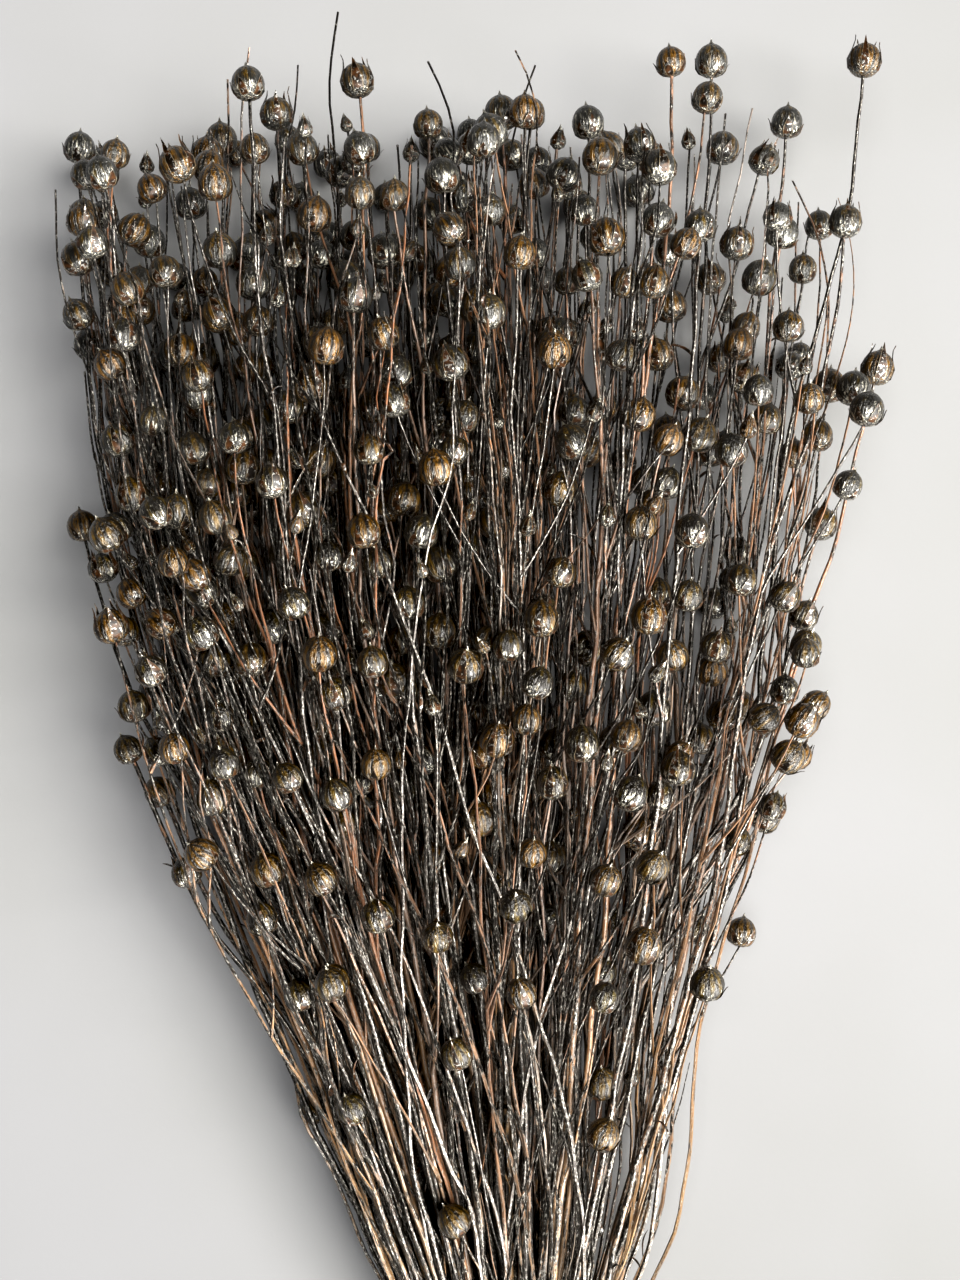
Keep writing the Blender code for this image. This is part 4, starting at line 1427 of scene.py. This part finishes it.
def makeScraps():
    rng = np.random.default_rng(scraps["seed"])
    shape = newShape()
    everyLine = [p.line for p in plants] + lines
    for k in range(scraps["leaves"] + scraps["fibres"]):
        line = everyLine[int(rng.integers(len(everyLine)))]
        y = scraps["lowest"] + (min(line.top, 0.33) + 0.07) * rng.random() ** scraps["lowDown"]
        if abs(y) < scraps["offBand"]:
            continue
        centre = pointOn(line, np.array([y, y + 2 * mm]))
        along = unit(centre[1] - centre[0])
        out = unit(np.cross(along, rng.normal(size=3)))
        start = centre[0] + out * np.interp(y, line.points[:, 1], line.radii) * 0.8
        ahead = unit(along + out * rng.uniform(0.3, 1.1))
        curlAxis = unit(np.cross(ahead, out)) * rng.choice((-1, 1))
        if k < scraps["leaves"]:
            length, width = rng.uniform(*scraps["lengths"]), rng.uniform(*scraps["widths"])
            rings = ribbon(start, ahead, curlAxis, length, width, rng)
            if inBox(rings):
                edges = np.array((0.9, 0.4, 0.9, 0.0))
                addRings(shape, rings, 2, rng.random(), 0.5, edges, endCap=2, startCap=2)
            continue
        length = rng.uniform(*scraps["fibreLengths"])
        points = ribbon(start, ahead, curlAxis, length, 0.1 * mm, rng).mean(axis=1)
        thick = np.linspace(1, 0.4, len(points)) * scraps["fibreRadius"]
        rings = tube(points, thick, 3)
        if inBox(rings):
            addRings(shape, rings, 2, rng.random(), 0.5, 0.9, endCap=2)
    finishShape(shape, "leafScraps", flaxMaterials)


def inBox(rings):
    return bool((rings > np.array(cadBox[0])).all() and (rings < np.array(cadBox[1])).all())


makeScraps()
print("leaf scraps made")

# The tie: a plain rubber band wound five times, its strands lying side by side, flat where it rests
band = {
    "turns": 5,
    "strandWidth": 1.9 * mm,
    "innerRadius": 13.25 * mm,
    "outerRadius": 15.15 * mm,
    "steps": 120,
    "sides": 12,
    "slant": 0.45 * mm,
    "unevenness": 0.12 * mm,
    "sunk": 0.1 * mm,
    "corner": 0.55,  # 1 would be a round strand, 0 a square one
    "seed": 9,
    "rubber": "#c39a5e",
    "rubberDark": "#8f6a38",
    "dust": "#e2d3b4",
    "roughness": 0.62,
}


# Natural rubber strip, cut from calendered sheet: warm amber, a little dusty, with fine lengthwise lines
def makeRubber():
    material, add = newMaterial("naturalRubberBand", {
        "IOR": 1.52, "Subsurface Weight": 0.12, "Subsurface Radius": (0.8, 0.4, 0.15),
        "Subsurface Scale": 1.2 * mm,
    })
    local = add("Attribute", {"attribute_name": "local"}, out="Vector")
    cloudy = add("TexNoise", {"Scale": 1 / (4 * mm), "Detail": 3.0}, add("TexCoord", out="Object"))
    colour = add("ValToRGB", {"stops": ((0.3, band["rubberDark"]), (0.62, band["rubber"]))}, cloudy)
    fineLines = add("Mapping", {"Scale": (1 / (0.25 * mm), 1.0, 1.0)}, local)
    drawn = add("TexNoise", {"Scale": 1.0, "Detail": 2.0}, fineLines)
    dusty = add("MapRange", {"from": (0.52, 0.8), "to": (0, 0.4)}, drawn)
    colour = add("Mix", {"data_type": "RGBA", 7: band["dust"]}, {0: dusty, 6: colour}, 2)
    rough = add("MapRange", {"to": (band["roughness"] - 0.1, band["roughness"] + 0.15)}, cloudy)
    bump = add("Bump", {"Strength": 0.4, "Distance": 0.06 * mm}, {"Height": drawn})
    return plugIn(material, {"Base Color": colour, "Roughness": rough, "Normal": bump})


def softened(share):
    # turns a round section into a square one with soft corners
    return np.sign(share) * np.abs(share) ** band["corner"]


def makeBand():
    shape = newShape()
    rng = np.random.default_rng(band["seed"])
    angle = np.arange(band["steps"] + 1) * math.tau / band["steps"]
    turn = np.arange(band["sides"]) * math.tau / band["sides"]
    wide = softened(np.cos(turn)) * band["strandWidth"] / 2
    deep = softened(np.sin(turn)) * ((band["outerRadius"] - band["innerRadius"]) / 2)
    edge = fan["bandWidth"] / 2
    for k in range(band["turns"]):
        middle = (k - (band["turns"] - 1) / 2) * (fan["bandWidth"] / band["turns"])
        shift = band["slant"] * np.sin(angle + rng.uniform(0, math.tau)) * rng.uniform(0.5, 1)
        lift = band["unevenness"] * np.sin(2 * angle + rng.uniform(0, math.tau)) - band["sunk"]
        centre = (band["outerRadius"] + band["innerRadius"]) / 2 + lift
        radius = centre[:, None] + deep
        across = (middle + shift)[:, None] + wide
        x = radius * np.cos(angle)[:, None]
        z = waistHeight + radius * np.sin(angle)[:, None]
        rings = np.stack((x, np.clip(across, -edge, edge), z), axis=-1)
        local = np.stack([np.broadcast_to(c, x.shape) for c in (across, angle[:, None], deep)], axis=-1)
        addRings(shape, rings[:, ::-1], 0, rng.random(), local=local[:, ::-1])
    finishShape(shape, "rubberBandWindings", (makeRubber(),), ("tie_band",))


makeBand()
print("band made")

# The table: a pale painted board, matt and a little uneven
table = {"size": 9.0, "colour": "#9c9c9d", "warm": "#979796", "roughness": 0.6}


def makeTable():
    material, add = newMaterial("paleTable", {"Roughness": table["roughness"]})
    place = add("TexCoord", out="Object")
    cloudy = add("TexNoise", {"Scale": 1 / (140 * mm), "Detail": 3.0}, place)
    colour = add("ValToRGB", {"stops": ((0.35, table["warm"]), (0.65, table["colour"]))}, cloudy)
    uneven = add("TexNoise", {"Scale": 1 / (1.4 * mm), "Detail": 3.0}, place)
    bump = add("Bump", {"Strength": 0.06, "Distance": 0.2 * mm}, {"Height": uneven})
    half = table["size"] / 2
    mesh = bpy.data.meshes.new("table")
    corners = [(-half, -half, 0), (half, -half, 0), (half, half, 0), (-half, half, 0)]
    mesh.from_pydata(corners, [], [(0, 1, 2, 3)])
    mesh.materials.append(plugIn(material, {"Base Color": colour, "Normal": bump}))
    floor = newObject("table", mesh)
    tableOnly.objects.link(floor)


makeTable()


def makeLight(name, spec, shinesOn=None):
    light = bpy.data.lights.new(name, "AREA")
    light.size = spec["size"]
    light.energy = spec["power"]
    light.color = linear(spec["colour"])[:3]
    lamp = newObject(name, light)
    away = Vector(spec["from"]).normalized() * spec["away"]
    lamp.location = Vector(studio["middle"]) + away
    lamp.rotation_euler = away.to_track_quat("Z", "Y").to_euler()
    lamp.light_linking.receiver_collection = shinesOn


makeLight("windowLight", studio["window"])
makeLight("screenLight", studio["screen"], flaxOnly)
makeLight("overheadLight", studio["overhead"], tableOnly)
world = bpy.data.worlds.new("softRoom")
world.use_nodes = True
sky = world.node_tree.nodes["Background"]
sky.inputs["Color"].default_value = linear(studio["sky"])
sky.inputs["Strength"].default_value = studio["skyStrength"]
scene.world = world
camera = bpy.data.cameras.new("camera")
camera.lens = studio["lens"]
camera.sensor_width = 36.0
camera.clip_start = 0.01
viewer = newObject("camera", camera)
viewer.location = Vector(studio["middle"]) + Vector((0, 0, studio["cameraHeight"]))
scene.camera = viewer
view = scene.view_settings
view.view_transform = "Standard"
view.look = "None"
view.exposure = studio["exposure"]
view.gamma = studio["gamma"]
view.use_curve_mapping = True
view.curve_mapping.black_level = (studio["black"],) * 3
view.curve_mapping.update()
print("table, light and camera set")

bpy.context.view_layer.update()
shown = [o.data.polygons for o in bpy.data.objects if o.type == "MESH" and not o.hide_render]
print("triangles shown:", sum(len(face.vertices) - 2 for faces in shown for face in faces))
